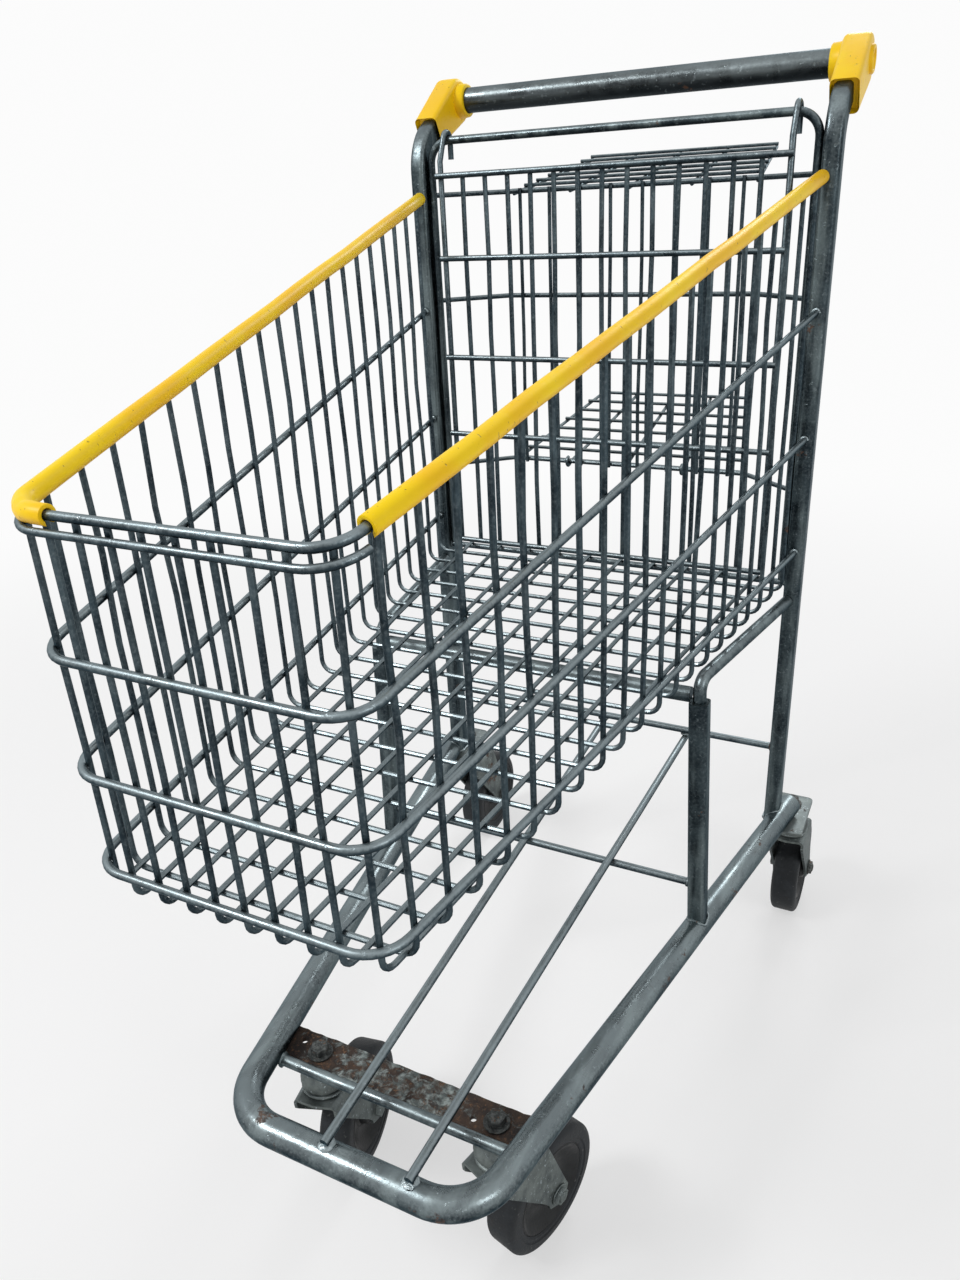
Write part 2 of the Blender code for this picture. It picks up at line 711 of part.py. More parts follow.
def panel(name, z0, slope_rise, halves, hooks, **place):
    """Grille that rises to the rear and narrows: cross wires on top, lengthwise wires below."""
    front = SEAT_Y + SEAT_ROD_R + SEAT_WIRE_R + SEAT_SINK
    low = 2 * SEAT_WIRE_R - SEAT_SINK

    def level(s):
        return z0 + slope_rise * s / SEAT_DEPTH

    across = []
    for k in range(PANEL_ROWS):
        s = SEAT_DEPTH * k / (PANEL_ROWS - 1)
        half = halves[0] + (halves[1] - halves[0]) * s / SEAT_DEPTH + 0.002
        across.append(([(-half, front + s, level(s)), (half, front + s, level(s))], seat_wire, (0, 0, 1)))
    along = []
    for k in range(PANEL_COLUMNS):
        t = 2 * k / (PANEL_COLUMNS - 1) - 1
        x0 = t * halves[0]
        rear = SEAT_DEPTH + 0.002
        path = [(x0, front, level(0) - low), (t * halves[1], front + rear, level(rear) - low)]
        if k in hooks:
            grip = SEAT_ROD_R + 0.0005 + SEAT_WIRE_R
            loop = [(x0, SEAT_Y + grip * cos(a), SEAT_Z[2] + grip * sin(a)) for a in map(radians, HOOK_TURN)]
            path = loop + [(x0, SEAT_Y + 0.012, level(0.008) - low), path[1]]
        along.append((path, seat_wire, (1, 0, 0)))
    return grille(name, across, along, WIRE, **place)


panel("seat_tray", SEAT_Z[0] + 0.001, TRAY_RISE, TRAY_HALF, ())
panel("seat_pan", SEAT_Z[2], PAN_RISE, PAN_HALF, (1, 3), origin=(0, SEAT_Y, SEAT_Z[2]))


# Handle bar and its moulded end caps

def bar(radius, half):
    return cylinder(radius, (-half, BAR_Y, BAR_Z), (half, BAR_Y, BAR_Z), 14, pi / 14)


def round_bar(xs, radius, sides, phase=0.0):
    return cylinder(radius, (xs[0], BAR_Y, BAR_Z), (xs[1], BAR_Y, BAR_Z), sides, phase)


finish("handle_bar", bar(BAR_R, BAR_HALF), STEEL)

for side, sign in (("left", -1), ("right", 1)):
    path = upright_path(sign)
    along = (path[-1] - Vector(path[-2])).normalized()
    arm = [Vector(path[-2]) + along * 0.002, path[-1] - along * 0.004,
           Vector((sign * UPRIGHT_X, BAR_Y - 0.006, BAR_Z + 0.002))]
    cap = rods("cap_" + side, [(arm, soft_box(CAP_WIDTH, CAP_DEPTH, CAP_CORNER), (1, 0, 0))], YELLOW)
    combine(cap, round_bar([sign * x for x in BOSS_X], BOSS_R, 16))
    combine(cap, round_bar([sign * x for x in COLLAR_X], COLLAR_R, 14, pi / 14))
    socket = soft_box(UPRIGHT_D + 2 * TUBE_PLAY, UPRIGHT_W + 2 * TUBE_PLAY, UPRIGHT_CORNER)
    combine(cap, shape([(upright_path(sign, 0.0005), socket, (1, 0, 0))]), "DIFFERENCE")
    combine(cap, bar(BAR_R + GAP, BAR_HALF + TUBE_PLAY), "DIFFERENCE")
    combine(cap, round_bar([sign * x for x in RECESS_X], RECESS_R, 12), "DIFFERENCE")
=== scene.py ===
# Looks of the wire shopping cart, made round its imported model
import random
from math import asin, atan2, cos, degrees, pi, radians, sin, sqrt, tan

import bmesh
import bpy
from mathutils import Matrix, Vector


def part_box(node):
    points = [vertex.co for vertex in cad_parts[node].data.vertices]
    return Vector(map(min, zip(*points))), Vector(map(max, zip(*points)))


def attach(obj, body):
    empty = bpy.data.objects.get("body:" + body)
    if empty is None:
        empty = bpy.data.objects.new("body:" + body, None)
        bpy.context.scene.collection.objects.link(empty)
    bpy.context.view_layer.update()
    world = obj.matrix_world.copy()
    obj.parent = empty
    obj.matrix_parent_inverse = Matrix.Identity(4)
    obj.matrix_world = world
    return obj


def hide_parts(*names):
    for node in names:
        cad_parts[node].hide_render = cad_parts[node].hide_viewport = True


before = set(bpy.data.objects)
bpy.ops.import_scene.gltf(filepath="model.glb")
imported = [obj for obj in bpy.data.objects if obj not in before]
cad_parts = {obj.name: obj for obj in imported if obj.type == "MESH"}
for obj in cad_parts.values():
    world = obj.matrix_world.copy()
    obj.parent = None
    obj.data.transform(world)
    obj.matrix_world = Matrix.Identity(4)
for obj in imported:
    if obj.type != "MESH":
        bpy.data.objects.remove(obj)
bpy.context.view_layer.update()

hoopLow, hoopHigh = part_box("gate_hoop")
planeY = (hoopLow.y + hoopHigh.y) / 2  # plane of the uprights; every y below is measured from it
dice = random.Random(7)


# Materials

class Pin:
    # one socket of a material, with arithmetic on its values
    def __init__(self, paint, socket):
        self.paint = paint
        self.socket = socket

    def maths(self, operation, *values):
        return self.paint.node("ShaderNodeMath", {"operation": operation}, dict(enumerate(values)))

    def __add__(self, other):
        return self.maths("ADD", self, other)

    def __radd__(self, other):
        return self.maths("ADD", other, self)

    def __sub__(self, other):
        return self.maths("SUBTRACT", self, other)

    def __rsub__(self, other):
        return self.maths("SUBTRACT", other, self)

    def __mul__(self, other):
        return self.maths("MULTIPLY", self, other)

    def __rmul__(self, other):
        return self.maths("MULTIPLY", other, self)

    def __abs__(self):
        return self.maths("ABSOLUTE", self)


class Paint:
    # one material; constants go straight on the shader's own sockets
    def __init__(self, name, **constants):
        self.material = bpy.data.materials.new(name)
        self.material.use_nodes = True
        self.tree = self.material.node_tree
        self.shader = self.tree.nodes["Principled BSDF"]
        for key, value in constants.items():
            self.set(self.shader.inputs[key], value)
        self.coords = None

    def set(self, socket, value):
        if isinstance(value, Pin):
            self.tree.links.new(value.socket, socket)
        elif isinstance(value, tuple) and len(value) == 3 and socket.type == "RGBA":
            socket.default_value = (*value, 1.0)
        else:
            socket.default_value = value

    def node(self, kind, settings=None, values=None, out=0):
        made = self.tree.nodes.new(kind)
        for key, value in (settings or {}).items():
            setattr(made, key, value)
        for key, value in (values or {}).items():
            self.set(made.inputs[key], value)
        return Pin(self, made.outputs[out])

    def place(self, output="Object"):
        if self.coords is None:
            self.coords = self.tree.nodes.new("ShaderNodeTexCoord")
        return Pin(self, self.coords.outputs[output])

    def axis(self, index, output="Object"):
        return self.node("ShaderNodeSeparateXYZ", None, {0: self.place(output)}, index)

    def noise(self, scale, detail=3.0, rough=0.55, stretch=(1, 1, 1), warp=0.0, shift=(0, 0, 0)):
        values = {"Vector": self.place(), "Scale": stretch, "Location": shift}
        spot = self.node("ShaderNodeMapping", None, values)
        return self.node("ShaderNodeTexNoise", None, {"Vector": spot, "Scale": scale, "Detail": detail,
                                                      "Roughness": rough, "Distortion": warp})

    def step(self, value, low, high):
        # 0 at low, 1 at high, smooth between
        return self.node("ShaderNodeMapRange", {"interpolation_type": "SMOOTHSTEP"},
                         {"Value": value, "From Min": low, "From Max": high})

    def mix(self, factor, first, second):
        return self.node("ShaderNodeMix", {"data_type": "RGBA"}, {0: factor, 6: first, 7: second}, 2)

    def bump(self, height, depth):
        return self.node("ShaderNodeBump", None, {"Height": height, "Distance": depth, "Strength": 1.0})

    def wear(self, **sockets):
        for key, value in sockets.items():
            self.set(self.shader.inputs[key.replace("_", " ")], value)
        return self.material


def steelFinish(name, look):
    # streaked zinc on steel: painted shade on faces turned down, a painted highlight on faces turned up, bright
    # scratches, brown where the zinc is gone
    p = Paint(name, **{"Specular Tint": look["edge"]})
    up = p.axis(2, "Normal")
    patches = p.step(p.noise(look["patchScale"], 4, 0.6, warp=0.6), 0.36, 0.64)
    streaks = p.step(p.noise(look["streakScale"], 3, 0.6, stretch=look["streakStretch"]), 0.42, 0.66)
    fine = p.noise(look["fineScale"], 2, 0.6)
    # painted highlight: a mask of the faces turned up, broken by fine noise
    top = p.step(up + (fine - 0.5) * 0.9, -0.15, 0.85)
    # painted shade: a mask of the faces turned down
    below = p.step(up, -0.1, -0.85)
    colour = p.mix(patches, look["dark"], look["middle"])
    colour = p.mix(streaks * look["streaks"], colour, look["pale"])
    # painted highlight: faces turned up are mixed towards the bright colour
    colour = p.mix(top * look["topHighlight"], colour, look["bright"])
    # painted shade: faces turned down are mixed towards a near-black colour
    colour = p.mix(below * look["shadeAndGrime"], colour, look["paintedShade"])
    scratches = p.step(p.noise(look["scratchScale"], 2, 0.5, shift=(3, 1, 2)), 0.64, 0.70)
    colour = p.mix(scratches * look["scratches"], colour, look["bright"])
    edge = look["rustEdge"]
    rustPatch = p.step(p.noise(look["rustScale"], 5, 0.7, shift=(9, 4, 1)), edge, edge + 0.05)
    rustTone = p.mix(p.step(p.noise(260, 3, 0.6), 0.4, 0.62), look["rustDark"], look["rustLight"])
    colour = p.mix(rustPatch * look["rust"], colour, rustTone)
    # the painted shade mask also makes the undersides rougher and less metallic
    dull = p.step(rustPatch * look["rust"] + below * look["shadeAndGrime"] * 0.4, 0.0, 1.0)
    height = fine * 0.4 + scratches * -0.5 + rustPatch * look["rust"] * 0.8 + patches * 0.3
    return p.wear(Base_Color=colour, Metallic=look["metal"] * (1 - dull * 0.85),
                  Roughness=look["gloss"] + patches * 0.14 + dull * 0.35 + streaks * 0.06,
                  Normal=p.bump(height, look["pit"]))


# the near-black colour of the faces turned down is painted shade; the bright colour is a painted highlight on the
# faces turned up and also the colour of the scratches
baseSteel = {
    "edge": (0.45, 0.50, 0.53), "dark": (0.012, 0.019, 0.024), "middle": (0.040, 0.056, 0.063),
    "pale": (0.20, 0.245, 0.25), "bright": (0.45, 0.52, 0.54), "paintedShade": (0.005, 0.008, 0.010),
    "rustDark": (0.028, 0.014, 0.009), "rustLight": (0.120, 0.050, 0.022), "patchScale": 34, "streakScale": 60,
    "streakStretch": (1, 1, 0.12), "fineScale": 420, "scratchScale": 240, "rustScale": 26, "streaks": 0.5,
    "topHighlight": 0.32, "shadeAndGrime": 0.8, "scratches": 0.12, "rust": 0.8, "rustEdge": 0.66, "metal": 0.9, "gloss": 0.27,
    "pit": 0.0003,
}
tubeSteel = steelFinish("galvanised_tube", baseSteel)
sideTubeSteel = steelFinish("galvanised_chassis", {
    **baseSteel, "streakStretch": (1, 0.15, 1), "rustEdge": 0.62, "gloss": 0.22,
})
wireSteel = steelFinish("zinc_wire", {
    **baseSteel, "dark": (0.014, 0.023, 0.030), "middle": (0.040, 0.060, 0.072), "pale": (0.13, 0.17, 0.185),
    "streaks": 0.35, "topHighlight": 0.45, "rustEdge": 0.70, "patchScale": 22, "streakStretch": (1, 1, 0.4),
    "scratches": 0.06, "pit": 0.0002,
})
barSteel = steelFinish("push_bar_steel", {
    **baseSteel, "dark": (0.020, 0.023, 0.025), "middle": (0.055, 0.064, 0.068), "pale": (0.15, 0.175, 0.18),
    "streakStretch": (0.14, 1, 1), "patchScale": 45, "rustEdge": 0.64, "topHighlight": 0.25, "gloss": 0.22,
})
casterZinc = steelFinish("caster_zinc", {
    **baseSteel, "dark": (0.060, 0.070, 0.068), "middle": (0.125, 0.142, 0.136), "pale": (0.23, 0.26, 0.245),
    "patchScale": 70, "topHighlight": 0.2, "shadeAndGrime": 0.55, "metal": 0.6, "gloss": 0.40, "streakStretch": (1, 1, 0.5),
    "scratches": 0.55, "scratchScale": 320, "rustEdge": 0.63,
})
weldSteel = steelFinish("weld_metal", {
    **baseSteel, "topHighlight": 0.55, "patchScale": 160, "gloss": 0.30, "pit": 0.0008, "rustEdge": 0.60,
})


def rustyPlateFinish():
    p = Paint("rusty_plate")
    worn = p.noise(95, 6, 0.72, warp=0.5)
    # silver is left along the middle of the plate and worn off towards the bolts
    middle = 1 - p.step(abs(p.axis(0) + 0.008), 0.045, 0.085)
    silver = p.step(worn + middle * 0.16, 0.56, 0.74)
    rust = p.mix(p.step(p.noise(60, 5, 0.7), 0.35, 0.65), (0.016, 0.012, 0.011), (0.060, 0.036, 0.024))
    rust = p.mix(p.step(p.noise(320, 3, 0.6), 0.55, 0.72), rust, (0.16, 0.085, 0.045))
    zinc = p.mix(p.step(p.noise(180, 4, 0.6), 0.4, 0.7), (0.10, 0.12, 0.118), (0.36, 0.41, 0.40))
    crust = p.noise(400, 4, 0.7)
    return p.wear(Base_Color=p.mix(silver, rust, zinc), Metallic=0.1 + silver * 0.65,
                  Roughness=0.82 - silver * 0.42,
                  Normal=p.bump(crust * (1 - silver * 0.8) + silver * 0.3, 0.0010))


def boltFinish():
    p = Paint("bolt_steel")
    tone = p.mix(p.step(p.noise(300, 4, 0.65), 0.4, 0.65), (0.030, 0.034, 0.034), (0.115, 0.125, 0.122))
    tone = p.mix(p.step(p.noise(190, 3, 0.6), 0.62, 0.70), tone, (0.10, 0.052, 0.028))
    return p.wear(Base_Color=tone, Metallic=0.45, Roughness=0.58, Normal=p.bump(p.noise(700, 3, 0.6), 0.0004))


def yellowFinish(name, look):
    p = Paint(name, **{"Coat Roughness": 0.25, "IOR": 1.5, "Specular IOR Level": 0.25})
    sun = p.noise(14, 3, 0.5)
    colour = p.mix(p.step(sun, 0.35, 0.65), look["deep"], look["fresh"])
    low = p.step(p.axis(2, "Normal"), 0.1, -0.9)
    colour = p.mix(low * 0.55, colour, look["shade"])
    dirt = p.step(p.noise(120, 5, 0.7, warp=0.4), 0.60, 0.74)
    colour = p.mix(dirt * look["dirt"], colour, (0.16, 0.105, 0.018))
    nicks = p.step(p.noise(330, 2, 0.5, stretch=(1, 1, 0.5)), 0.70, 0.74)
    colour = p.mix(nicks * 0.5, colour, (0.09, 0.07, 0.03))
    return p.wear(Base_Color=colour, Roughness=0.36 + dirt * 0.25 + p.noise(55, 2) * 0.12, Coat_Weight=0.05,
                  Normal=p.bump(p.noise(90, 3) * 0.7 + nicks * -0.4 + p.noise(900, 1) * 0.08, 0.0004))


sleeveYellow = yellowFinish("sleeve_yellow", {"deep": (0.96, 0.56, 0.003), "fresh": (1.0, 0.70, 0.006),
                                              "shade": (0.70, 0.30, 0.002), "dirt": 0.16})
capYellow = yellowFinish("cap_yellow", {"deep": (0.96, 0.58, 0.002), "fresh": (1.0, 0.70, 0.004),
                                        "shade": (0.66, 0.32, 0.002), "dirt": 0.08})


def rubberFinish():
    p = Paint("grey_rubber", **{"Specular IOR Level": 0.25})
    dust = p.step(p.noise(45, 5, 0.65), 0.36, 0.70)
    colour = p.mix(dust, (0.009, 0.011, 0.013), (0.030, 0.034, 0.038))
    colour = p.mix(p.step(p.noise(210, 3, 0.6), 0.64, 0.72), colour, (0.075, 0.078, 0.076))
    return p.wear(Base_Color=colour, Roughness=0.55 + dust * 0.25,
                  Normal=p.bump(p.noise(260, 4, 0.6) + dust * 0.3, 0.0005))


def hubFinish():
    p = Paint("dark_hub", **{"Specular IOR Level": 0.25})
    dust = p.step(p.noise(70, 4, 0.6), 0.4, 0.7)
    return p.wear(Base_Color=p.mix(dust, (0.007, 0.008, 0.009), (0.028, 0.030, 0.031)),
                  Roughness=0.45 + dust * 0.3, Normal=p.bump(p.noise(350, 3), 0.0003))


plateRust = rustyPlateFinish()
boltSteel = boltFinish()
rubber = rubberFinish()
hubPlastic = hubFinish()
print("materials made")


# Shapes

bothSides = (("left", -1), ("right", 1))


def ringSection(radius, sides):
    angles = [2 * pi * (k + 0.5) / sides for k in range(sides)]
    return [(radius * cos(a), radius * sin(a)) for a in angles]


def boxSection(width, depth, corner, steps=4):
    # rounded rectangle: a quarter arc at each corner
    points = []
    for turn, (sx, sy) in enumerate(((1, 1), (-1, 1), (-1, -1), (1, -1))):
        for k in range(steps + 1):
            angle = pi / 2 * (turn + k / steps)
            points.append((sx * (width / 2 - corner) + corner * cos(angle),
                           sy * (depth / 2 - corner) + corner * sin(angle)))
    return points


def draw(bm, path, section, up=(0, 0, 1), swell=None):
    # a section drawn along a path with mitred turns; swell scales it at each point
    points = [Vector(p) for p in path]
    runs = [(b - a).normalized() for a, b in zip(points, points[1:])]
    side = runs[0].cross(Vector(up)).normalized()
    top = side.cross(runs[0])
    scale = swell[0] if swell else 1.0
    ring = [bm.verts.new(points[0] + side * a * scale + top * b * scale) for a, b in section]
    bm.faces.new(ring)
    edges = [bm.edges.get((a, b)) for a, b in zip(ring, ring[1:] + ring[:1])]
    for i, run in enumerate(runs):
        stop = points[i + 1]
        normal = run if i == len(runs) - 1 else (run + runs[i + 1]).normalized()
        grown = bmesh.ops.extrude_edge_only(bm, edges=edges)["geom"]
        fresh = {g for g in grown if isinstance(g, bmesh.types.BMVert)}
        edges = [g for g in grown if isinstance(g, bmesh.types.BMEdge) and set(g.verts) <= fresh]
        for vert in fresh:
            vert.co += run * ((stop - vert.co).dot(normal) / run.dot(normal))
            if swell:
                vert.co = stop + (vert.co - stop) * (swell[i + 1] / swell[i])
    bmesh.ops.contextual_create(bm, geom=edges)


def bend(points, radius, steps):
    # rounds the inner corners of a path
    corners = [Vector(p) for p in points]
    path = [corners[0]]
    for a, b, c in zip(corners, corners[1:], corners[2:]):
        back = (a - b).normalized()
        ahead = (c - b).normalized()
        angle = back.angle(ahead)
        cut = radius / tan(angle / 2)
        centre = b + (back + ahead).normalized() * (radius / sin(angle / 2))
        start = b + back * cut - centre
        stop = b + ahead * cut - centre
        whole = start.angle(stop)
        for k in range(steps + 1):
            s = k / steps
            path.append(centre + (start * sin((1 - s) * whole) + stop * sin(s * whole)) / sin(whole))
    path.append(corners[-1])
    return path


def lathe(bm, profile, axis, steps, centre=(0, 0, 0)):
    # a closed profile of (along, radius) pairs spun round X or Z
    place = {"X": lambda a, r: Vector((a, 0, r)), "Z": lambda a, r: Vector((r, 0, a))}[axis]
    ring = [bm.verts.new(Vector(centre) + place(a, r)) for a, r in profile]
    edges = [bm.edges.new((a, b)) for a, b in zip(ring, ring[1:] + ring[:1])]
    turn = Vector((1, 0, 0)) if axis == "X" else Vector((0, 0, 1))
    bmesh.ops.spin(bm, geom=ring + edges, cent=centre, axis=turn, angle=2 * pi, steps=steps, use_merge=True)
    bmesh.ops.remove_doubles(bm, verts=bm.verts, dist=0.000005)


def arc(centre, radius, start, stop, steps):
    # points of an arc in a plane, angles in degrees
    angles = [radians(start + (stop - start) * k / steps) for k in range(steps + 1)]
    return [(centre[0] + radius * cos(a), centre[1] + radius * sin(a)) for a in angles]


def keep(name, bm, paint, nodes=(), body="frame", soft=35, place=None):
    # closes a piece: into world place, faces out, on its body
    bmesh.ops.transform(bm, matrix=place or Matrix.Translation((0, planeY, 0)), verts=bm.verts)
    bmesh.ops.recalc_face_normals(bm, faces=bm.faces)
    mesh = bpy.data.meshes.new(name)
    bm.to_mesh(mesh)
    bm.free()
    mesh.materials.append(paint)
    mesh.shade_smooth()
    mesh.set_sharp_from_angle(angle=radians(soft))
    piece = bpy.data.objects.new(name, mesh)
    bpy.context.collection.objects.link(piece)
    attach(piece, body)
    if nodes:
        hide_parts(*nodes)


def wobble(path, size):
    # moves the inner points a little, as bent wire has it
    inner = [p + Vector((dice.gauss(0, size), dice.gauss(0, size), 0)) for p in path[1:-1]]
    return [path[0]] + inner + [path[-1]]


def between(a, b, count):
    # points from a to b, ends left out
    return [a.lerp(b, (k + 1) / (count + 1)) for k in range(count)]


def evenly(a, b, inner):
    # the ends too
    return [a] + between(a, b, inner) + [b]


def flipped(path):
    return [Vector((-p.x, p.y, p.z)) for p in path]


def strand(bm, start, stop, inner, bent, section, up=(0, 0, 1)):
    # a wire from start to stop that wavers at its inner points
    draw(bm, wobble(evenly(start, stop, inner), bent), section, up)


def vertsOf(geometry):
    return [g for g in geometry if isinstance(g, bmesh.types.BMVert)]


def roundOff(bm, edges, offset, segments=2):
    bmesh.ops.bevel(bm, geom=edges, offset=offset, segments=segments, affect="EDGES", profile=0.5, material=-1)


# Chassis, uprights and posts

chassis = {
    "z": 0.206, "radius": 0.013, "halfRear": 0.2225, "taper": 0.179, "frontY": -0.605, "rearY": 0.030,
    "corner": 0.050, "sides": 28, "plugDepth": 0.004, "wall": 0.0018,
}
uprights = {
    "x": 0.213, "width": 0.017, "depth": 0.023, "corner": 0.0045, "bendZ": 0.926, "bendRadius": 0.045,
    "lean": 62, "run": 0.030,
}
posts = {
    "y": -0.225, "side": 0.018, "corner": 0.004, "topX": 0.172, "topZ": 0.4885, "endX": 0.2095, "cutZ": 0.466,
    "plugZ": 0.440, "stay": 0.0063, "stayBend": 0.0136,
}


def chassisX(y):
    return chassis["halfRear"] + chassis["taper"] * y


def makeChassis():
    c = chassis
    right = [(chassisX(y), y, c["z"]) for y in (c["rearY"], c["frontY"])]
    left = [(-x, y, z) for x, y, z in reversed(right)]
    path = bend(right + left, c["corner"], 14)
    bm = bmesh.new()
    draw(bm, path, ringSection(c["radius"], c["sides"]))
    ends = [f for f in bm.faces if len(f.verts) > 4]
    bmesh.ops.inset_individual(bm, faces=ends, thickness=c["wall"])
    for end in ends:
        bmesh.ops.translate(bm, vec=end.normal * -c["plugDepth"], verts=end.verts)
    keep("chassis_tube", bm, sideTubeSteel, ["base_tube"])


def uprightPath(sign, foot):
    u = uprights
    x = sign * u["x"]
    path = [Vector((x, 0, foot)), Vector((x, 0, u["bendZ"]))]
    for y, z in arc((u["bendRadius"], u["bendZ"]), u["bendRadius"], 180, 180 - u["lean"], 10)[1:]:
        path.append(Vector((x, y, z)))
    lean = radians(u["lean"])
    return path + [path[-1] + Vector((0, sin(lean), cos(lean))) * u["run"]]


def makeUprights():
    u = uprights
    for side, sign in bothSides:
        bm = bmesh.new()
        draw(bm, uprightPath(sign, chassis["z"]), boxSection(u["depth"], u["width"], u["corner"]), (1, 0, 0))
        keep("upright_tube_" + side, bm, tubeSteel, ["upright_" + side])


def makePosts():
    # a square tube cut off under the basket, and a round stay bent back from it to the upright
    p = posts
    for side, sign in bothSides:
        foot = Vector((sign * chassisX(p["y"]), p["y"], chassis["z"]))
        corner = Vector((sign * p["topX"], p["y"], p["topZ"]))
        end = Vector((sign * p["endX"], -uprights["depth"] / 2 - 0.001, p["topZ"]))
        cut, plug = (foot.lerp(corner, (z - foot.z) / (corner.z - foot.z)) for z in (p["cutZ"], p["plugZ"]))
        bm = bmesh.new()
        draw(bm, [foot, cut], boxSection(p["side"], p["side"], p["corner"]), (1, 0, 0))
        draw(bm, bend([plug, corner, end], p["stayBend"], 10), ringSection(p["stay"], 18), (1, 0, 0))
        keep("post_tube_" + side, bm, tubeSteel, ["post_" + side])


makeChassis()
makeUprights()
makePosts()
print("chassis drawn")


# Rods of the chassis and the hoop

rods = {
    "radius": 0.004, "rearLowZ": 0.300, "rearHighZ": 0.5055, "rearHighRadius": 0.0035, "crossTubeRadius": 0.0075,
    "crossTubeZ": 0.471, "crossTubeBack": 0.002, "hoopZ": 0.956, "hoopX": 0.2002, "hoopFoot": 0.5095,
    "hoopBend": 0.022, "plateRodRadius": 0.005, "plateRodZ": 0.1986, "plateRodY": -0.5368, "bite": 0.001,
    "bent": 0.0004, "rack": (("left", -0.016, -0.002), ("right", 0.062, 0.104)), "rackRearY": 0.003,
}
rackFrontZ = chassis["z"] + chassis["radius"] + rods["radius"]
rackRearZ = rods["rearLowZ"] - 2 * rods["radius"]


def rackZ(y):
    return rackFrontZ + (rackRearZ - rackFrontZ) * (1 - y / chassis["frontY"])


def straightRod(name, a, b, radius, node, paint=wireSteel, slot="wire", sides=14):
    bm = bmesh.new()
    strand(bm, Vector(a), Vector(b), 3, rods["bent"], ringSection(radius, sides))
    keep(name, bm, paint, [node])


def levelRod(name, half, y, z, radius, node, *finish):
    straightRod(name, (-half, y, z), (half, y, z), radius, node, *finish)


def makeRods():
    r = rods
    p = posts
    inner = uprights["x"] - uprights["width"] / 2 + r["bite"]
    levelRod("rod_rear_upper", inner, 0, r["rearHighZ"], r["rearHighRadius"], "rear_rod_upper")
    levelRod("rod_rear_lower", inner, 0, r["rearLowZ"], r["radius"], "rear_rod_lower")
    levelRod("tube_across", p["topX"] - p["side"] / 2 + r["bite"], p["y"] + r["crossTubeBack"], r["crossTubeZ"],
             r["crossTubeRadius"], "cross_tube", tubeSteel, "galvanised", 24)
    levelRod("rod_between_posts", chassisX(p["y"]) - p["side"] / 2 - 2 * r["bite"], p["y"],
             rackZ(p["y"]) - 2 * r["radius"], r["radius"], "mid_rod")
    for side, frontX, rearX in r["rack"]:
        front = (frontX, chassis["frontY"] - 2 * r["bite"], rackZ(chassis["frontY"] - 2 * r["bite"]))
        rear = (rearX, r["rackRearY"], rackZ(r["rackRearY"]))
        straightRod("rod_lengthwise_" + side, front, rear, r["radius"], "rack_rod_" + side)
    levelRod("rod_at_plate", chassisX(r["plateRodY"]) - chassis["radius"] + r["bite"], r["plateRodY"],
             r["plateRodZ"], r["plateRodRadius"], "plate_rod", tubeSteel, "galvanised", 18)
    x, foot, top = r["hoopX"], r["hoopFoot"], r["hoopZ"]
    hoop = bend([(-x, 0, foot), (-x, 0, top), (x, 0, top), (x, 0, foot)], r["hoopBend"], 10)
    bm = bmesh.new()
    draw(bm, hoop, ringSection(r["radius"], 16), (0, 1, 0))
    keep("gate_hoop_rod", bm, tubeSteel, ["gate_hoop"])


makeRods()
print("rods drawn")


# Basket

basket = {
    "sideX": 0.2105, "taper": 0.1523, "noseY": -0.6695, "rearRailY": -0.0125, "wire": 0.0022, "rail": 0.0030,
    "sink": 0.0010, "rim": (0.905, 0.755), "rails": ((0.787, 0.667), (0.665, 0.586), (0.545, 0.514)),
    "floor": (0.508, 0.490), "wires": 20, "firstY": -0.030, "pitch": 0.0321, "noseWires": 10, "noseHalf": 0.104,
    "rearHalf": 0.175, "corner": 0.024, "wireBend": 0.011, "sides": 8, "railSides": 12, "bent": 0.0007,
    "noseRod": 0.0025, "noseRodDrop": 0.009, "kneeRise": 0.030, "endY": 0.003,
}
railOff = basket["wire"] + basket["rail"] - basket["sink"]
wireRows = [basket["firstY"] - basket["pitch"] * k for k in range(basket["wires"])]
sideOut = Vector((1, -basket["taper"], 0)).normalized()


def spread(half, count):
    # places of count wires from -half to half
    return [half * (2 * k / (count - 1) - 1) for k in range(count)]


noseColumns = spread(basket["noseHalf"], basket["noseWires"])


def sideX(y):
    return basket["sideX"] + basket["taper"] * y


def levelAt(pair, y):
    return pair[0] + (pair[1] - pair[0]) * max(0.0, min(1.0, y / basket["noseY"]))


def railPath(pair, off, rear=basket["rearRailY"], steps=8):
    # from the right upright round the nose to the left one, off outside the wires
    front = basket["noseY"] - off
    start = Vector((sideX(rear), rear, levelAt(pair, rear))) + sideOut * off
    tip = Vector((sideX(front) + off / sideOut.x, front, pair[1]))
    return bend([start, tip] + flipped([tip, start]), basket["corner"] + off, steps)


def noseY(x):
    # the wires' line across the nose and round its corners
    path = railPath(basket["rim"], 0.0)
    for a, b in zip(path, path[1:]):
        if min(a.x, b.x) <= x <= max(a.x, b.x) and abs(a.x - b.x) > 1e-6 and max(a.y, b.y) < -0.6:
            return a.y + (b.y - a.y) * (x - a.x) / (b.x - a.x)
    return basket["noseY"]


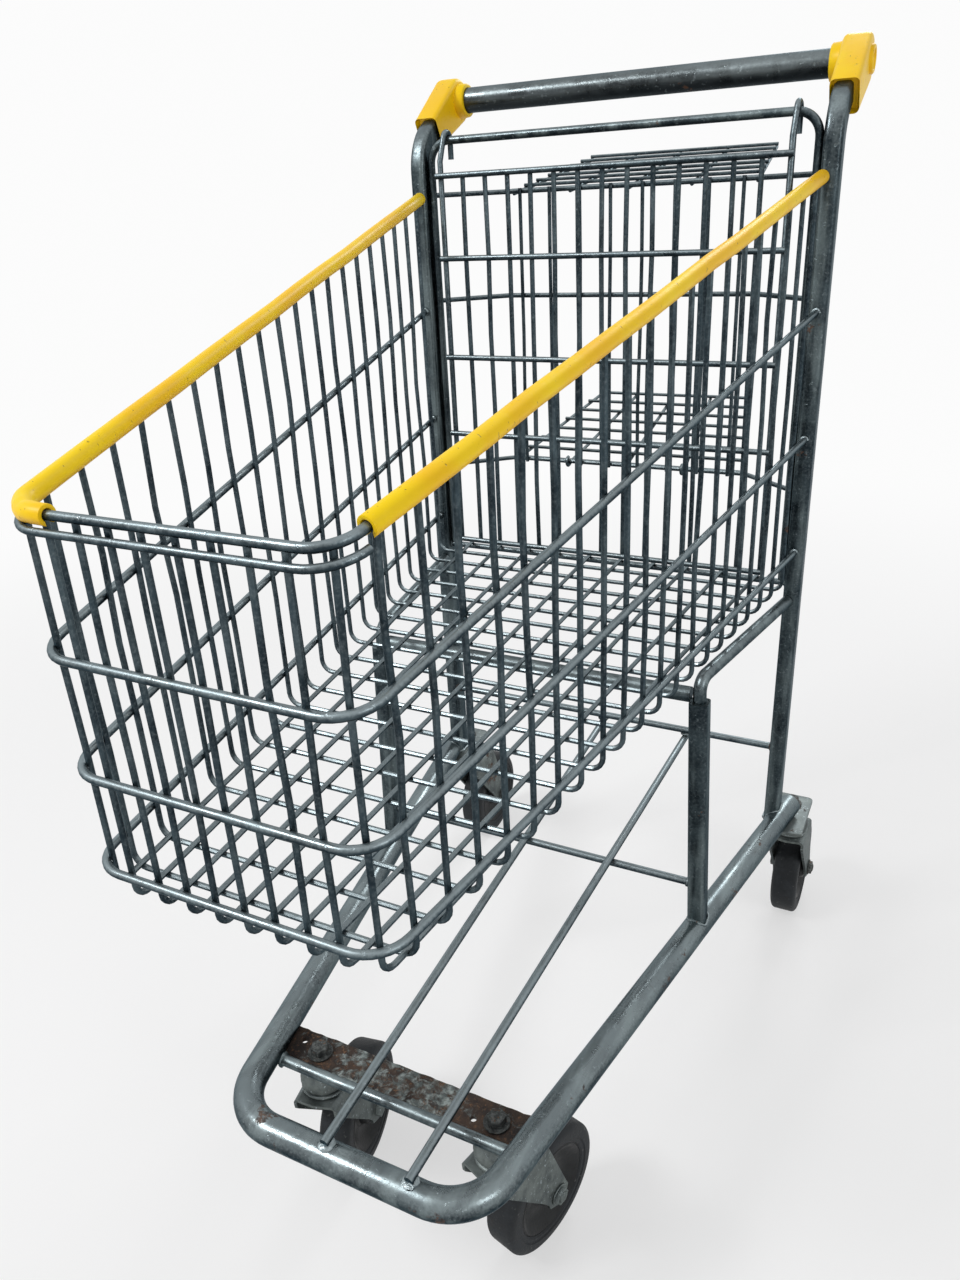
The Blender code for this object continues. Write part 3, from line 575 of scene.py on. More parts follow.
def makeBasketWires():
    b = basket
    section = ringSection(b["wire"], b["sides"])
    bm = bmesh.new()
    for y in wireRows:
        x, z = sideX(y), levelAt(b["floor"], y)
        top = Vector((x, y, levelAt(b["rim"], y)))
        foot = Vector((x, y, z))
        farFoot = Vector((-x, y, z))
        straight = [top] + between(top, Vector((x, y, z + b["kneeRise"])), 3) + [foot]
        side = wobble(straight, b["bent"])
        other = flipped(reversed(wobble(straight, b["bent"])))
        across = wobble(evenly(foot, farFoot, 2), b["bent"] * 0.6)
        near = bend([side[-2], foot, across[1]], b["wireBend"], 5)
        far = bend([across[-2], farFoot, other[1]], b["wireBend"], 5)
        draw(bm, side[:-2] + near[:-1] + across[1:-1] + far[1:] + other[2:], section, (0, 1, 0))
    keep("basket_wires_across", bm, wireSteel, ["basket_side_left", "basket_side_right", "basket_floor"])

    bm = bmesh.new()
    lift = 2 * b["wire"] - b["sink"]
    for x in noseColumns:
        y1 = noseY(x)
        top = Vector((x, y1, b["rim"][1]))
        low = Vector((x, y1, b["floor"][1] + lift))
        rear = Vector((x * b["rearHalf"] / b["noseHalf"], b["endY"], b["floor"][0] + lift))
        down = wobble([top] + between(top, low + Vector((0, 0, b["kneeRise"])), 2) + [low], b["bent"])
        along = wobble(evenly(low, rear, 4), b["bent"])
        corner = bend([down[-2], low, along[1]], b["wireBend"], 5)
        draw(bm, down[:-2] + corner[:-1] + along[1:], section, (1, 0, 0))
    keep("basket_wires_lengthwise", bm, wireSteel, ["basket_nose", "basket_floor"])


def makeBasketRails():
    b = basket
    walls = ["basket_side_left", "basket_side_right", "basket_nose"]
    rails = [("basket_rail_" + name, pair, railOff) for name, pair in zip(("high", "middle", "low"), b["rails"])]
    for name, pair, off in rails + [("basket_rim_rod", b["rim"], 0.0)]:
        bm = bmesh.new()
        draw(bm, railPath(pair, off), ringSection(b["rail"], b["railSides"]))
        keep(name, bm, wireSteel, walls)
    # a second rod under the rim, from one corner of the nose to the other
    bm = bmesh.new()
    lowered = tuple(z - b["noseRodDrop"] for z in b["rim"])
    draw(bm, railPath(lowered, railOff)[1:-1], ringSection(b["noseRod"], b["railSides"]))
    keep("basket_nose_rod", bm, wireSteel, ["basket_nose"])


makeBasketWires()
makeBasketRails()
print("basket drawn")


# Yellow edge sleeves

sleeves = {
    "radius": 0.0063, "bore": 0.0037, "slot": 0.0027, "rearY": -0.016, "endY": -0.646, "wrapX": 0.078,
    "sides": 22, "bent": 0.00025, "edge": 0.0005,
}


def slottedSection(outer, bore, slot, sides):
    # round wall with a slot along its underside
    a = -90 + degrees(asin(slot / outer))
    b = -90 + degrees(asin(slot / bore))
    return arc((0, 0), outer, a, 180 - a, sides) + arc((0, 0), bore, 180 - b, b, sides)


def makeSleeves():
    s = sleeves
    b = basket
    whole = railPath(b["rim"], 0.0, s["rearY"], 10)
    half = len(whole) // 2
    section = slottedSection(s["radius"], s["bore"], s["slot"], s["sides"])
    for side in ("left", "right"):
        bm = bmesh.new()
        if side == "right":
            stop = Vector((sideX(s["endY"]), s["endY"], levelAt(b["rim"], s["endY"])))
            path = evenly(whole[0], stop, 12)
        else:
            stop = Vector((s["wrapX"], b["noseY"], b["rim"][1]))
            path = flipped(evenly(whole[0], whole[1], 12) + whole[2:half] + [stop])
        for point in path[1:-1]:
            point += Vector((dice.gauss(0, s["bent"]), 0, dice.gauss(0, s["bent"])))
        draw(bm, path, section)
        ends = [e for e in bm.edges if any(len(f.verts) > 4 for f in e.link_faces)]
        roundOff(bm, ends, s["edge"])
        keep("edge_sleeve_" + side, bm, sleeveYellow, ["sleeve_" + side])


makeSleeves()


# Gate

gate = {
    "rails": (0.922, 0.841, 0.737, 0.651, 0.522), "wires": 15, "half": 0.180, "y": -0.0175, "wire": 0.0025,
    "rail": 0.0030, "hook": 0.0030, "play": 0.0006, "sink": 0.0006, "past": 0.003, "tail": 0.018, "neck": 0.020,
    "railBent": 0.0004, "wireBent": 0.0005,
}


def makeGate():
    g = gate
    bm = bmesh.new()
    railY = g["y"] - g["wire"] - g["rail"] + g["sink"]
    end = g["half"] + g["past"]
    section = ringSection(g["rail"], 12)
    for z in g["rails"]:
        strand(bm, Vector((-end, railY, z)), Vector((end, railY, z)), 4, g["railBent"], section)
    section = ringSection(g["wire"], 8)
    columns = spread(g["half"], g["wires"])
    foot = g["rails"][-1] - g["past"]
    top = g["rails"][0] + g["past"]
    for x in columns[1:-1]:
        strand(bm, Vector((x, g["y"], foot)), Vector((x, g["y"], top)), 4, g["wireBent"], section,
               (0, 1, 0))
    reach = rods["radius"] + g["play"] + g["hook"]
    for x in (columns[0], columns[-1]):
        loop = [Vector((x, y, z)) for y, z in arc((0, rods["hoopZ"]), reach, 160, 0, 10)]
        path = [Vector((x, g["y"], foot)), Vector((x, g["y"], rods["hoopZ"] - g["neck"]))] + loop
        path.append(Vector((x, reach, rods["hoopZ"] - g["tail"])))
        draw(bm, path, ringSection(g["hook"], 12), (1, 0, 0))
    keep("gate_grille", bm, wireSteel, ["gate"], "gate")


makeGate()


# Child seat behind the gate

seat = {
    "y": 0.060, "half": 0.140, "rod": 0.0026, "wire": 0.0020, "levels": (0.904, 0.795, 0.605), "depth": 0.190,
    "panRise": 0.045, "trayRise": 0.034, "backWires": 8, "backPitch": 0.035, "bite": 0.0008, "past": 0.002,
    "bent": 0.0004, "backBent": 0.0005, "rootX": 0.2018, "rootY": 0.0080, "rootBend": 0.012,
}


def seatPanel(name, z0, rise, halfFront, halfRear, hooks, node, body):
    s = seat
    bm = bmesh.new()
    front = s["y"] + s["rod"] + s["wire"] + s["bite"]
    slope = rise / s["depth"]
    section = ringSection(s["wire"], 8)
    for k in range(8):
        t = k / 7
        half = halfFront + (halfRear - halfFront) * t + s["past"]
        a = Vector((-half, front + t * s["depth"], z0 + rise * t))
        strand(bm, a, Vector((half, a.y, a.z)), 3, s["bent"], section)
    low = 2 * s["wire"] - 0.0006
    for k in range(5):
        t = k / 2 - 1
        a = Vector((t * halfFront, front, z0 - low))
        b = Vector((t * halfRear, front + s["depth"] + s["past"], z0 + rise + slope * s["past"] - low))
        path = evenly(a, b, 3)
        if hooks and k in (1, 3):
            # this wire goes on round the seat frame's lowest rod
            grip = s["rod"] + 0.0005 + s["wire"]
            loop = [Vector((a.x, y, z)) for y, z in arc((s["y"], s["levels"][2]), grip, 90, 285, 10)]
            path = loop + [Vector((a.x, s["y"] + 0.012, z0 + slope * 0.008 - low))] + path[1:]
        draw(bm, path, section, (1, 0, 0))
    keep(name, bm, wireSteel, [node], body)


def makeSeat():
    s = seat
    bm = bmesh.new()
    for z in s["levels"]:
        corners = [(-s["rootX"], s["rootY"], z), (-s["half"], s["y"], z), (s["half"], s["y"], z),
                   (s["rootX"], s["rootY"], z)]
        draw(bm, bend(corners, s["rootBend"], 5), ringSection(s["rod"], 10))
    y = s["y"] - s["rod"] - s["wire"] + s["bite"]
    foot, top = s["levels"][2] - 0.003, s["levels"][0] + 0.003
    section = ringSection(s["wire"], 8)
    for k in range(s["backWires"]):
        x = s["backPitch"] * (k - (s["backWires"] - 1) / 2)
        strand(bm, Vector((x, y, foot)), Vector((x, y, top)), 3, s["backBent"], section, (0, 1, 0))
    keep("seat_back_grille", bm, wireSteel, ["seat_frame"])
    seatPanel("seat_tray_grille", s["levels"][0] + 0.001, s["trayRise"], 0.134, 0.112, False, "seat_tray",
              "frame")
    seatPanel("seat_pan_grille", s["levels"][2], s["panRise"], 0.140, 0.100, True, "seat_pan", "seat_pan")


makeSeat()
print("gate and seat drawn")


# Push bar and its end caps

bar = {"y": 0.079, "z": 0.998, "radius": 0.0125, "half": 0.2047, "sides": 40}
cap = {
    "boss": 0.0225, "inner": 0.2015, "outer": 0.2275, "collar": 0.0165, "collarX": 0.1920, "armHalf": 0.0158,
    "round": 0.0050, "button": 0.0125, "buttonX": 0.2305, "recess": 0.0085, "lip": 0.0022, "mouth": 0.0060,
}


def makeBar():
    b = bar
    left, right = (Vector((x, b["y"], b["z"])) for x in (-b["half"], b["half"]))
    bm = bmesh.new()
    draw(bm, evenly(left, right, 6), ringSection(b["radius"], b["sides"]))
    keep("push_bar", bm, barSteel, ["handle_bar"])


def makeCaps():
    c = cap
    top = uprightPath(1, chassis["z"])
    lean = (top[-1] - top[-2]).normalized()
    foot = top[-2]
    across = Vector((0, lean.z, -lean.y)) * c["armHalf"]  # square to the arm, in its plane
    turn = degrees(atan2(lean.z, lean.y))
    for side, sign in bothSides:
        bm = bmesh.new()
        # outline from the side: round the bar, then down both edges of the leaning tube
        outline = arc((bar["y"], bar["z"]), c["boss"], turn - 90, turn + 90, 16)
        outline += [(p.y, p.z) for p in (foot - across, foot + across)]
        face = bm.faces.new([bm.verts.new((sign * c["inner"], y, z)) for y, z in outline])
        grown = bmesh.ops.extrude_face_region(bm, geom=[face])["geom"]
        bmesh.ops.translate(bm, vec=(sign * (c["outer"] - c["inner"]), 0, 0), verts=vertsOf(grown))
        bmesh.ops.recalc_face_normals(bm, faces=bm.faces)
        mouth = min(bm.faces, key=lambda f: f.normal.dot(lean))
        flanks = [f for f in bm.faces if abs(f.normal.x) > 0.9]
        rims = [e for e in bm.edges if mouth not in e.link_faces and any(f in flanks for f in e.link_faces)]
        roundOff(bm, rims, c["round"], 5)
        mouth = min(bm.faces, key=lambda f: f.normal.dot(lean))
        bmesh.ops.inset_individual(bm, faces=[mouth], thickness=c["lip"])
        bmesh.ops.translate(bm, vec=lean * c["mouth"], verts=mouth.verts)
        bore, collar = bar["radius"] + 0.0003, c["collar"]
        collarX, rootX = c["collarX"], c["inner"] + 0.006
        sleeve = [(collarX, bore), (collarX, collar - 0.001), (collarX + 0.001, collar), (rootX, collar + 0.001),
                  (rootX, bore)]
        lathe(bm, [(sign * a, r) for a, r in sleeve], "X", 40, (0, bar["y"], bar["z"]))
        x0, x1, rim = c["outer"], c["buttonX"], c["button"]
        button = [(x0 - 0.004, 0.0), (x0 - 0.004, rim), (x1 - 0.0012, rim), (x1, rim - 0.0012),
                  (x1, c["recess"] + 0.0006), (x1 - 0.0006, c["recess"]), (x0 - 0.0010, c["recess"] - 0.0008),
                  (x0 - 0.0010, 0.0)]
        lathe(bm, [(sign * a, r) for a, r in button], "X", 36, (0, bar["y"], bar["z"]))
        keep("end_cap_" + side, bm, capYellow, ["cap_" + side], soft=50)


makeBar()
makeCaps()
print("push bar and caps made")


# Front and rear caster plates with their bolts

plates = {
    "top": 0.1927, "thick": 0.0042, "frontX": 0.090, "frontY": -0.5125, "frontHalf": 0.128, "frontTip": 0.134,
    "frontWide": 0.019, "rearX": 0.228, "rearY": 0.052, "rearHalf": 0.016, "rearCorner": 0.006, "hole": 0.0028,
    "edge": 0.0005, "gap": 0.0003,
}
casters = {
    "front_left": (-plates["frontX"], plates["frontY"], radians(10)),
    "front_right": (plates["frontX"], plates["frontY"], radians(-14)),
    "rear_left": (-plates["rearX"], plates["rearY"], 0.0),
    "rear_right": (plates["rearX"], plates["rearY"], 0.0),
}


def loopEdges(bm, points, z):
    verts = [bm.verts.new((x, y, z)) for x, y in points]
    return [bm.edges.new((a, b)) for a, b in zip(verts, verts[1:] + verts[:1])]


def plateSheet(bm, outline, holes, z, thick):
    # a sheet cut from an outline, with round holes
    edges = loopEdges(bm, outline, z)
    for centre, radius in holes:
        edges += loopEdges(bm, arc(centre, radius, 0, 330, 11), z)
    filled = bmesh.ops.triangle_fill(bm, edges=edges, use_beauty=True)["geom"]
    faces = [g for g in filled if isinstance(g, bmesh.types.BMFace)]
    grown = bmesh.ops.extrude_face_region(bm, geom=faces)["geom"]
    bmesh.ops.translate(bm, vec=(0, 0, thick), verts=vertsOf(grown))
    bmesh.ops.recalc_face_normals(bm, faces=bm.faces)
    level = [e for e in bm.edges if abs(e.verts[0].co.z - e.verts[1].co.z) < 1e-6 and len(e.link_faces) == 2]
    rims = [e for e in level if e.calc_face_angle() > radians(60)]
    roundOff(bm, rims, plates["edge"])


def raggedEdge(x0, x1, y, size, count):
    # points along a plate's long edge, each worn in towards the middle
    inward = 1 if y > plates["frontY"] else -1
    return [(x0 + (x1 - x0) * k / count, y + dice.uniform(-size, 0) * inward) for k in range(count + 1)]


def makePlates():
    p = plates
    y = p["frontY"]
    half, wide, tip = p["frontHalf"], p["frontWide"], p["frontTip"]
    under = p["top"] - p["thick"]
    outline = [(-tip, y)] + raggedEdge(-half, half, y - wide, 0.0004, 24)
    outline += [(tip, y)] + raggedEdge(half, -half, y + wide, 0.0011, 48)
    bm = bmesh.new()
    holes = [((-0.112, y + 0.006), p["hole"]), ((0.070, y - 0.004), p["hole"])]
    plateSheet(bm, outline, holes, under, p["thick"])
    keep("front_caster_plate", bm, plateRust, ["caster_plate_front"], soft=30)
    x, y, half, corner = p["rearX"], p["rearY"], p["rearHalf"], p["rearCorner"]
    for side, sign in bothSides:
        bm = bmesh.new()
        outline = arc((x + half, y + half), corner, 0, 90, 5) + arc((x - half, y + half), corner, 90, 180, 5)
        outline += [(x - 0.026, y - 0.070), (x + 0.022, y - 0.060)]
        plateSheet(bm, [(sign * a, b) for a, b in outline], [], under, p["thick"])
        keep("rear_caster_plate_" + side, bm, casterZinc, ["caster_plate_" + side], soft=30)
    flange = [(0.0, 0.0), (0.0, 0.0113), (0.0004, 0.0115), (0.0016, 0.0115), (0.0020, 0.0111), (0.0020, 0.0)]
    for tag, (x, y, turn) in casters.items():
        bm = bmesh.new()
        hexHead(bm, 0.0085, 0.0012, 0.0090)
        lathe(bm, flange, "Z", 32)
        spin = Matrix.Rotation(dice.uniform(0, 1), 4, "Z")
        place = Matrix.Translation((x, y + planeY, p["top"] + p["gap"])) @ spin
        keep("plate_bolt_" + tag, bm, boltSteel, ["bolt_" + tag], place=place, soft=30)


def hexHead(bm, radius, low, high):
    # six-sided head with a chamfered top
    made = bmesh.ops.create_cone(bm, cap_ends=True, segments=6, radius1=radius, radius2=radius, depth=high - low,
                                 matrix=Matrix.Translation((0, 0, (low + high) / 2)))
    edges = {e for v in made["verts"] for e in v.link_edges}
    topRim = [e for e in edges if all(v.co.z > (low + high) / 2 for v in e.verts)]
    roundOff(bm, topRim, 0.0011)
    bmesh.ops.recalc_face_normals(bm, faces=bm.faces)
    lid = max(bm.faces, key=lambda f: f.calc_center_median().z)
    bmesh.ops.inset_individual(bm, faces=[lid], thickness=0.0016, depth=-0.0004)


makePlates()
print("plates made")


# Casters

caster = {
    "wheelRadius": 0.0625, "width": 0.032, "trail": 0.055, "inner": 0.0440, "crownTop": 0.1550, "sheet": 0.003,
    "gap": 0.037, "shoulder": 0.006, "front": 0.024, "rear": 0.040, "tip": 0.014, "axle": 0.005, "play": 0.0003,
    "crown": 0.012, "race": 0.0216, "raceRise": 0.0105, "foot": 0.0195, "neck": 0.0105,
}


def makeHead(tag, place):
    c = caster
    low = c["crownTop"] + c["play"]
    high = plates["top"] - plates["thick"] - c["play"]
    raceZ = low + c["raceRise"]
    foot, neck = c["foot"], c["neck"]
    profile = [(low, 0.0), (low, foot)] + [(z, r) for r, z in arc((foot, low + 0.002), 0.002, -90, 90, 6)]
    profile += [(low + 0.0045, 0.0180), (low + 0.0060, 0.0185), (low + 0.0075, 0.0212), (raceZ, c["race"])]
    dome = arc((0, 0), c["race"], 8, 58, 8)
    lift = high - 0.003 - raceZ
    profile += [(raceZ + lift * h / dome[-1][1], r) for r, h in dome]
    profile += [(high - 0.002, neck), (high, neck), (high, 0.0)]
    bm = bmesh.new()
    lathe(bm, profile, "Z", 40)
    keep("caster_head_" + tag, bm, casterZinc, ["head_" + tag], place=place)


def makeFork(tag, place):
    # one pressed strip: crown in the middle, a cheek down each side, narrowing to the axle
    c = caster
    outer = c["gap"] / 2 + c["sheet"]
    top = c["crownTop"]
    axleZ = c["wheelRadius"]
    strip = [Vector((0, 0, top)), Vector((outer, 0, top)), Vector((outer, 0, axleZ - c["tip"]))]
    line = bend(strip, c["shoulder"], 6)
    cheek = between(line[-2], line[-1], 14)
    line = line[:-1] + cheek + [line[-1]]

    def span(point):
        # front and rear edge of the strip at this height
        crownLow = top - c["crown"]
        if point.z > crownLow:
            ease = 1 - abs(point.x) / outer
            fallen = max(0.0, min(1.0, (top - point.z) / c["crown"]))
            return (-c["front"] - 0.003 * ease, 0.034 + 0.006 * fallen - 0.004 * ease)
        if point.z >= axleZ:
            s = min(1.0, (crownLow - point.z) / (crownLow - axleZ))
            tipFront, tipRear = c["trail"] - c["tip"], c["trail"] + c["tip"]
            return (-c["front"] + (tipFront + c["front"]) * s, c["rear"] + (tipRear - c["rear"]) * s)
        half = sqrt(max(0.0, c["tip"] ** 2 - (axleZ - point.z) ** 2)) + 0.0006
        return (c["trail"] - half, c["trail"] + half)

    full = flipped(reversed(line[1:])) + line
    bm = bmesh.new()
    grid = bmesh.ops.create_grid(bm, x_segments=6, y_segments=len(full) - 1, size=0.5)["verts"]
    for vert in grid:
        row = round((vert.co.y + 0.5) * (len(full) - 1))
        s = vert.co.x + 0.5
        point = full[row]
        front, rear = span(point)
        vert.co = (point.x, front + (rear - front) * s, point.z)
    bmesh.ops.recalc_face_normals(bm, faces=bm.faces)
    if sum(f.normal.z for f in bm.faces if abs(f.calc_center_median().x) < 0.01) < 0:
        bmesh.ops.reverse_faces(bm, faces=bm.faces)
    bmesh.ops.solidify(bm, geom=list(bm.faces), thickness=c["sheet"])
    bmesh.ops.recalc_face_normals(bm, faces=bm.faces)
    keep("caster_fork_" + tag, bm, casterZinc, ["fork_" + tag], "swivel_" + tag, place=place, soft=40)


def makeAxle(tag, place, outward):
    c = caster
    outer = c["gap"] / 2 + c["sheet"] + c["play"]
    end = outer + 0.002
    bm = bmesh.new()
    lathe(bm, [(-end, 0.0), (-end, c["axle"]), (end, c["axle"]), (end, 0.0)], "X", 20)
    head = bmesh.new()
    hexHead(head, 0.0080, 0.0, 0.0050)
    addShape(bm, head, Matrix.Translation((-outward * outer, 0, 0)) @ Matrix.Rotation(-outward * pi / 2, 4, "Y"))
    nut = bmesh.new()  # with a washer under it and the axle's end in it
    lathe(nut, [(0.0, 0.0), (0.0, 0.0100), (0.0010, 0.0102), (0.0014, 0.0098), (0.0014, 0.0)], "Z", 28)
    hexHead(nut, 0.0085, 0.0014, 0.0050)
    lathe(nut, [(0.0045, 0.0), (0.0045, 0.0052), (0.0058, 0.0048), (0.0064, 0.0030), (0.0065, 0.0)], "Z", 20)
    addShape(bm, nut, Matrix.Translation((outward * outer, 0, 0)) @ Matrix.Rotation(outward * pi / 2, 4, "Y"))
    paint = boltSteel if tag.startswith("rear") else casterZinc
    centre = place @ Matrix.Translation((0, c["trail"], c["wheelRadius"]))
    keep("caster_axle_" + tag, bm, paint, ["axle_" + tag], "swivel_" + tag, place=centre, soft=30)


def addShape(bm, other, matrix):
    # puts another bmesh into this one
    bmesh.ops.transform(other, matrix=matrix, verts=other.verts)
    holder = bpy.data.meshes.new("holder")
    other.to_mesh(holder)
    other.free()
    bm.from_mesh(holder)
    bpy.data.meshes.remove(holder)


def makeWheel(tag, place):
    c = caster
    w, r, inner = c["width"] / 2, c["wheelRadius"], c["inner"]
    body = "wheel_" + tag
    centre = place @ Matrix.Translation((0, c["trail"], r))
    wide, tall = 0.0055, 0.0080  # of the tyre's rounded shoulder
    angles = [radians(90 - 15 * k) for k in range(7)]
    right = [(0.0, r)] + [(w - wide + wide * cos(a), r - tall + tall * sin(a)) for a in angles]
    right += [(w, r - 0.0120), (w - 0.0010, r - 0.0128), (w - 0.0010, inner + 0.0022),
              (w - 0.0022, inner + 0.0003)]
    profile = right + [(-x, y) for x, y in reversed(right[1:])]
    bm = bmesh.new()
    lathe(bm, profile, "X", 72)
    keep("caster_tyre_" + tag, bm, rubber, ["tyre_" + tag], body, place=centre, soft=28)
    disc = [(w - 0.0024, inner), (w - 0.0016, inner - 0.0014), (w - 0.0028, inner - 0.0040), (0.0075, 0.0330),
            (0.0062, 0.0300), (0.0062, 0.0205), (0.0080, 0.0175), (w - 0.0030, 0.0160), (w, 0.0150),
            (w + 0.0014, 0.0138), (w + 0.0014, 0.0085), (w + 0.0006, 0.0080), (w + 0.0006, c["axle"] + c["play"])]
    profile = disc + [(-x, y) for x, y in reversed(disc)]
    bm = bmesh.new()
    lathe(bm, profile, "X", 60)
    keep("caster_hub_" + tag, bm, hubPlastic, ["hub_" + tag], body, place=centre, soft=28)


for tag, (x, y, turn) in casters.items():
    place = Matrix.Translation((x, y + planeY, 0)) @ Matrix.Rotation(turn, 4, "Z")
    makeHead(tag, place)
    makeFork(tag, place)
    makeAxle(tag, place, 1 if x > 0 else -1)
    makeWheel(tag, place)
print("casters made")


# Welds

welds = {"bead": 0.0016, "nugget": 0.0019, "lump": 0.28, "lumpRadius": 0.0062, "rough": 0.00025}


def ringBead(bm, centre, axis, radius, bead):
    # a lumpy ring of weld round a rod's end
    turn = Vector(axis).to_track_quat("Z", "Y").to_matrix()
    steps = 14
    angles = [2 * pi * k / steps for k in range(steps + 1)]
    path = [Vector(centre) + turn @ Vector((radius * cos(a), radius * sin(a), 0)) for a in angles]
    swell = [1 + dice.uniform(-welds["lump"], welds["lump"]) for k in range(steps)]
    draw(bm, path, ringSection(bead, 6), axis, swell + swell[:1])


def footBead(bm, centreX, centreY, width, depth, sign):
    # weld round a square tube's foot where it stands on the round chassis tube
    path = []
    for a, b in boxSection(width + 0.001, depth + 0.001, 0.005):
        x = centreX + a
        y = centreY + b
        off = x - sign * chassisX(y)
        lift = sqrt(max(chassis["radius"] ** 2 - off ** 2, 0.0))
        path.append(Vector((x, y, chassis["z"] + lift)))
    path.append(path[0])
    swell = [1 + dice.uniform(-welds["lump"], welds["lump"]) for p in path]
    swell[-1] = swell[0]
    draw(bm, path, ringSection(welds["bead"], 6), (0, 0, 1), swell)


def nugget(bm, spot, radius, stretch, fineness=1):
    # a drop of weld, stretched by the wires it lies between
    place = Matrix.Translation(spot) @ Matrix.Diagonal((*stretch, 1))
    return bmesh.ops.create_icosphere(bm, subdivisions=fineness, radius=radius, matrix=place)["verts"]


def sideSpot(pair, y, off):
    # a place on a level of the basket's right side, off outside the wires
    return Vector((sideX(y), y, levelAt(pair, y))) + sideOut * off


def makeTubeWelds():
    w, r, p = welds, rods, posts
    inner = uprights["x"] - uprights["width"] / 2
    plateHalf = chassisX(r["plateRodY"]) - chassis["radius"]
    midHalf = chassisX(p["y"]) - p["side"] / 2 - 0.003
    bm = bmesh.new()
    for side, sign in bothSides:
        outward = (sign, 0, 0)
        footBead(bm, sign * uprights["x"], 0, uprights["width"], uprights["depth"], sign)
        footBead(bm, sign * chassisX(p["y"]), p["y"], p["side"], p["side"], sign)
        for z, radius in ((r["rearHighZ"], r["rearHighRadius"]), (r["rearLowZ"], r["radius"])):
            ringBead(bm, (sign * inner, 0, z), outward, radius + 0.0004, w["bead"])
        ringBead(bm, (sign * plateHalf, r["plateRodY"], r["plateRodZ"]), outward, r["plateRodRadius"],
                 w["bead"] * 1.3)
        ringBead(bm, (sign * midHalf, p["y"], rackZ(p["y"]) - 2 * r["radius"]), outward, r["radius"], w["bead"])
        for pair in basket["rails"]:
            end = sideSpot(pair, basket["rearRailY"], railOff)
            ringBead(bm, (sign * end.x, end.y, end.z), (0, 1, 0), basket["rail"], w["bead"])
    for side, frontX, rearX in r["rack"]:
        for x, y, up in ((frontX, chassis["frontY"], -1), (rearX, 0.0, 1)):
            spot = (x, y + 0.001, rackZ(y) + up * r["radius"])
            for v in nugget(bm, spot, w["lumpRadius"], (1.2, 1.3, 0.42), 2):
                v.co += Vector([dice.gauss(0, w["rough"]) for k in range(3)])
    keep("weld_beads", bm, weldSteel)


def makeWireWelds():
    b = basket
    radius = welds["nugget"]
    off = railOff / 2 + 0.0004
    bm = bmesh.new()
    for y in wireRows:
        for pair in b["rails"]:
            for side, sign in bothSides:
                spot = sideSpot(pair, y, off)
                nugget(bm, (sign * spot.x, spot.y, spot.z), radius, (0.8, 1.35, 1))
        z = levelAt(b["floor"], y) + b["wire"]
        s = y / b["noseY"]
        for x in noseColumns:
            at = x * (b["rearHalf"] / b["noseHalf"] * (1 - s) + s)
            nugget(bm, (at, y, z), radius * 0.8, (1.3, 1.3, 0.7))
    for x in noseColumns:
        for pair in b["rails"]:
            nugget(bm, (x, noseY(x) - off, pair[1]), radius, (1.35, 0.8, 1))
    keep("wire_welds", bm, weldSteel)


makeTubeWelds()
makeWireWelds()
print("welds made")


# Floor, light and camera

studio = {
    "floor": (0.86, 0.86, 0.865), "floorSize": 120.0, "backdrop": (0.97, 0.97, 0.97), "ambient": 0.42,
    "fadeFrom": 0.9, "fadeTo": 2.6, "near": 0.55,
    "key": {"place": (-1.7, -1.9, 3.0), "size": 0.9, "watts": 62},
    "fill": {"place": (2.4, -1.2, 1.6), "size": 0.9, "watts": 14},
    "rim": {"place": (0.2, 2.6, 2.4), "size": 0.9, "watts": 26},
}
view = {
    "place": (0.36234, -0.80074, 0.89914), "yaw": radians(27.9), "pitch": radians(24.6), "roll": radians(-3.1),
    "focal": 964 / 1280, "sensor": 36.0,
}


def seenDirectly(tree):
    # 1 for rays from the camera, off a mirror or through glass, 0 for the rest
    rays = tree.nodes.new("ShaderNodeLightPath").outputs
    seen = rays["Is Camera Ray"]
    for kind in ("Is Glossy Ray", "Is Transmission Ray"):
        either = tree.nodes.new("ShaderNodeMath")
        either.operation = "MAXIMUM"
        tree.links.new(seen, either.inputs[0])
        tree.links.new(rays[kind], either.inputs[1])
        seen = either.outputs[0]
    return seen


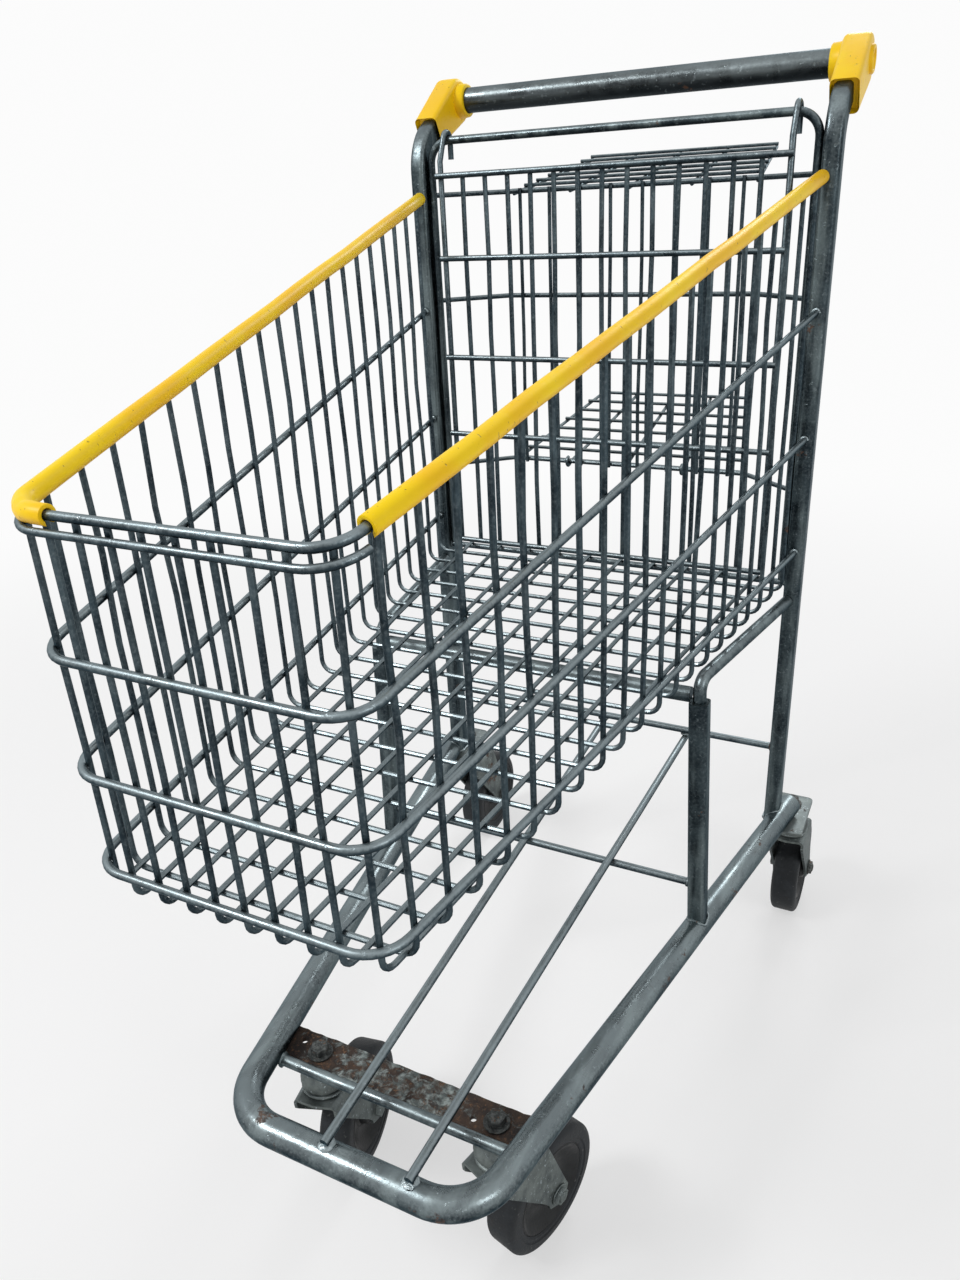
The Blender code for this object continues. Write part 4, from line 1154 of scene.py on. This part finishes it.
def makeStudio():
    s = studio
    bm = bmesh.new()
    bmesh.ops.create_grid(bm, x_segments=1, y_segments=1, size=s["floorSize"] / 2)
    mesh = bpy.data.meshes.new("studio_floor")
    bm.to_mesh(mesh)
    bm.free()
    floor = bpy.data.objects.new("studio_floor", mesh)
    bpy.context.collection.objects.link(floor)
    p = Paint("floor_paper", Roughness=0.9)
    p.wear(Base_Color=s["floor"])
    glow = p.node("ShaderNodeEmission", None, {"Color": s["backdrop"], "Strength": 1.0})
    # the paper turns into the backdrop away from the cart, so no horizon shows
    distance = p.node("ShaderNodeVectorMath", {"operation": "LENGTH"}, {0: p.place()}, 1)
    far = p.step(distance, s["fadeFrom"], s["fadeTo"])
    share = Pin(p, seenDirectly(p.tree)) * (s["near"] + far * (1 - s["near"]))
    mixed = p.node("ShaderNodeMixShader", None, {0: share, 1: Pin(p, p.shader.outputs[0]), 2: glow})
    p.tree.links.new(mixed.socket, p.tree.nodes["Material Output"].inputs["Surface"])
    mesh.materials.append(p.material)

    world = bpy.data.worlds.new("studio_world")
    bpy.context.scene.world = world
    world.use_nodes = True
    tree = world.node_tree
    back = tree.nodes["Background"]
    back.inputs["Color"].default_value = (1, 1, 1, 1)
    back.inputs["Strength"].default_value = s["ambient"]
    bright = tree.nodes.new("ShaderNodeBackground")
    bright.inputs["Color"].default_value = (*s["backdrop"], 1)
    bright.inputs["Strength"].default_value = 1.0
    mixed = tree.nodes.new("ShaderNodeMixShader")
    tree.links.new(seenDirectly(tree), mixed.inputs[0])
    tree.links.new(back.outputs[0], mixed.inputs[1])
    tree.links.new(bright.outputs[0], mixed.inputs[2])
    tree.links.new(mixed.outputs[0], tree.nodes["World Output"].inputs["Surface"])

    aim = Vector((0, 0, 0.5))
    for name in ("key", "fill", "rim"):
        lamp = s[name]
        light = bpy.data.lights.new(name, "AREA")
        light.shape = "SQUARE"
        light.size = lamp["size"]
        light.energy = lamp["watts"]
        holder = bpy.data.objects.new(name, light)
        holder.location = lamp["place"]
        holder.rotation_mode = "QUATERNION"
        holder.rotation_quaternion = (aim - Vector(lamp["place"])).to_track_quat("-Z", "Y")
        bpy.context.collection.objects.link(holder)


def makeCamera():
    v = view
    camera = bpy.data.objects.new("camera", bpy.data.cameras.new("camera"))
    camera.data.sensor_width = v["sensor"]
    camera.data.lens = v["sensor"] * v["focal"]
    tilt = Matrix.Rotation(pi / 2 - v["pitch"], 4, "X") @ Matrix.Rotation(v["roll"], 4, "Z")
    camera.matrix_world = Matrix.Translation(v["place"]) @ Matrix.Rotation(v["yaw"], 4, "Z") @ tilt
    bpy.context.collection.objects.link(camera)
    bpy.context.scene.camera = camera


makeStudio()
makeCamera()
bpy.context.scene.view_settings.view_transform = "Standard"
print("studio ready")
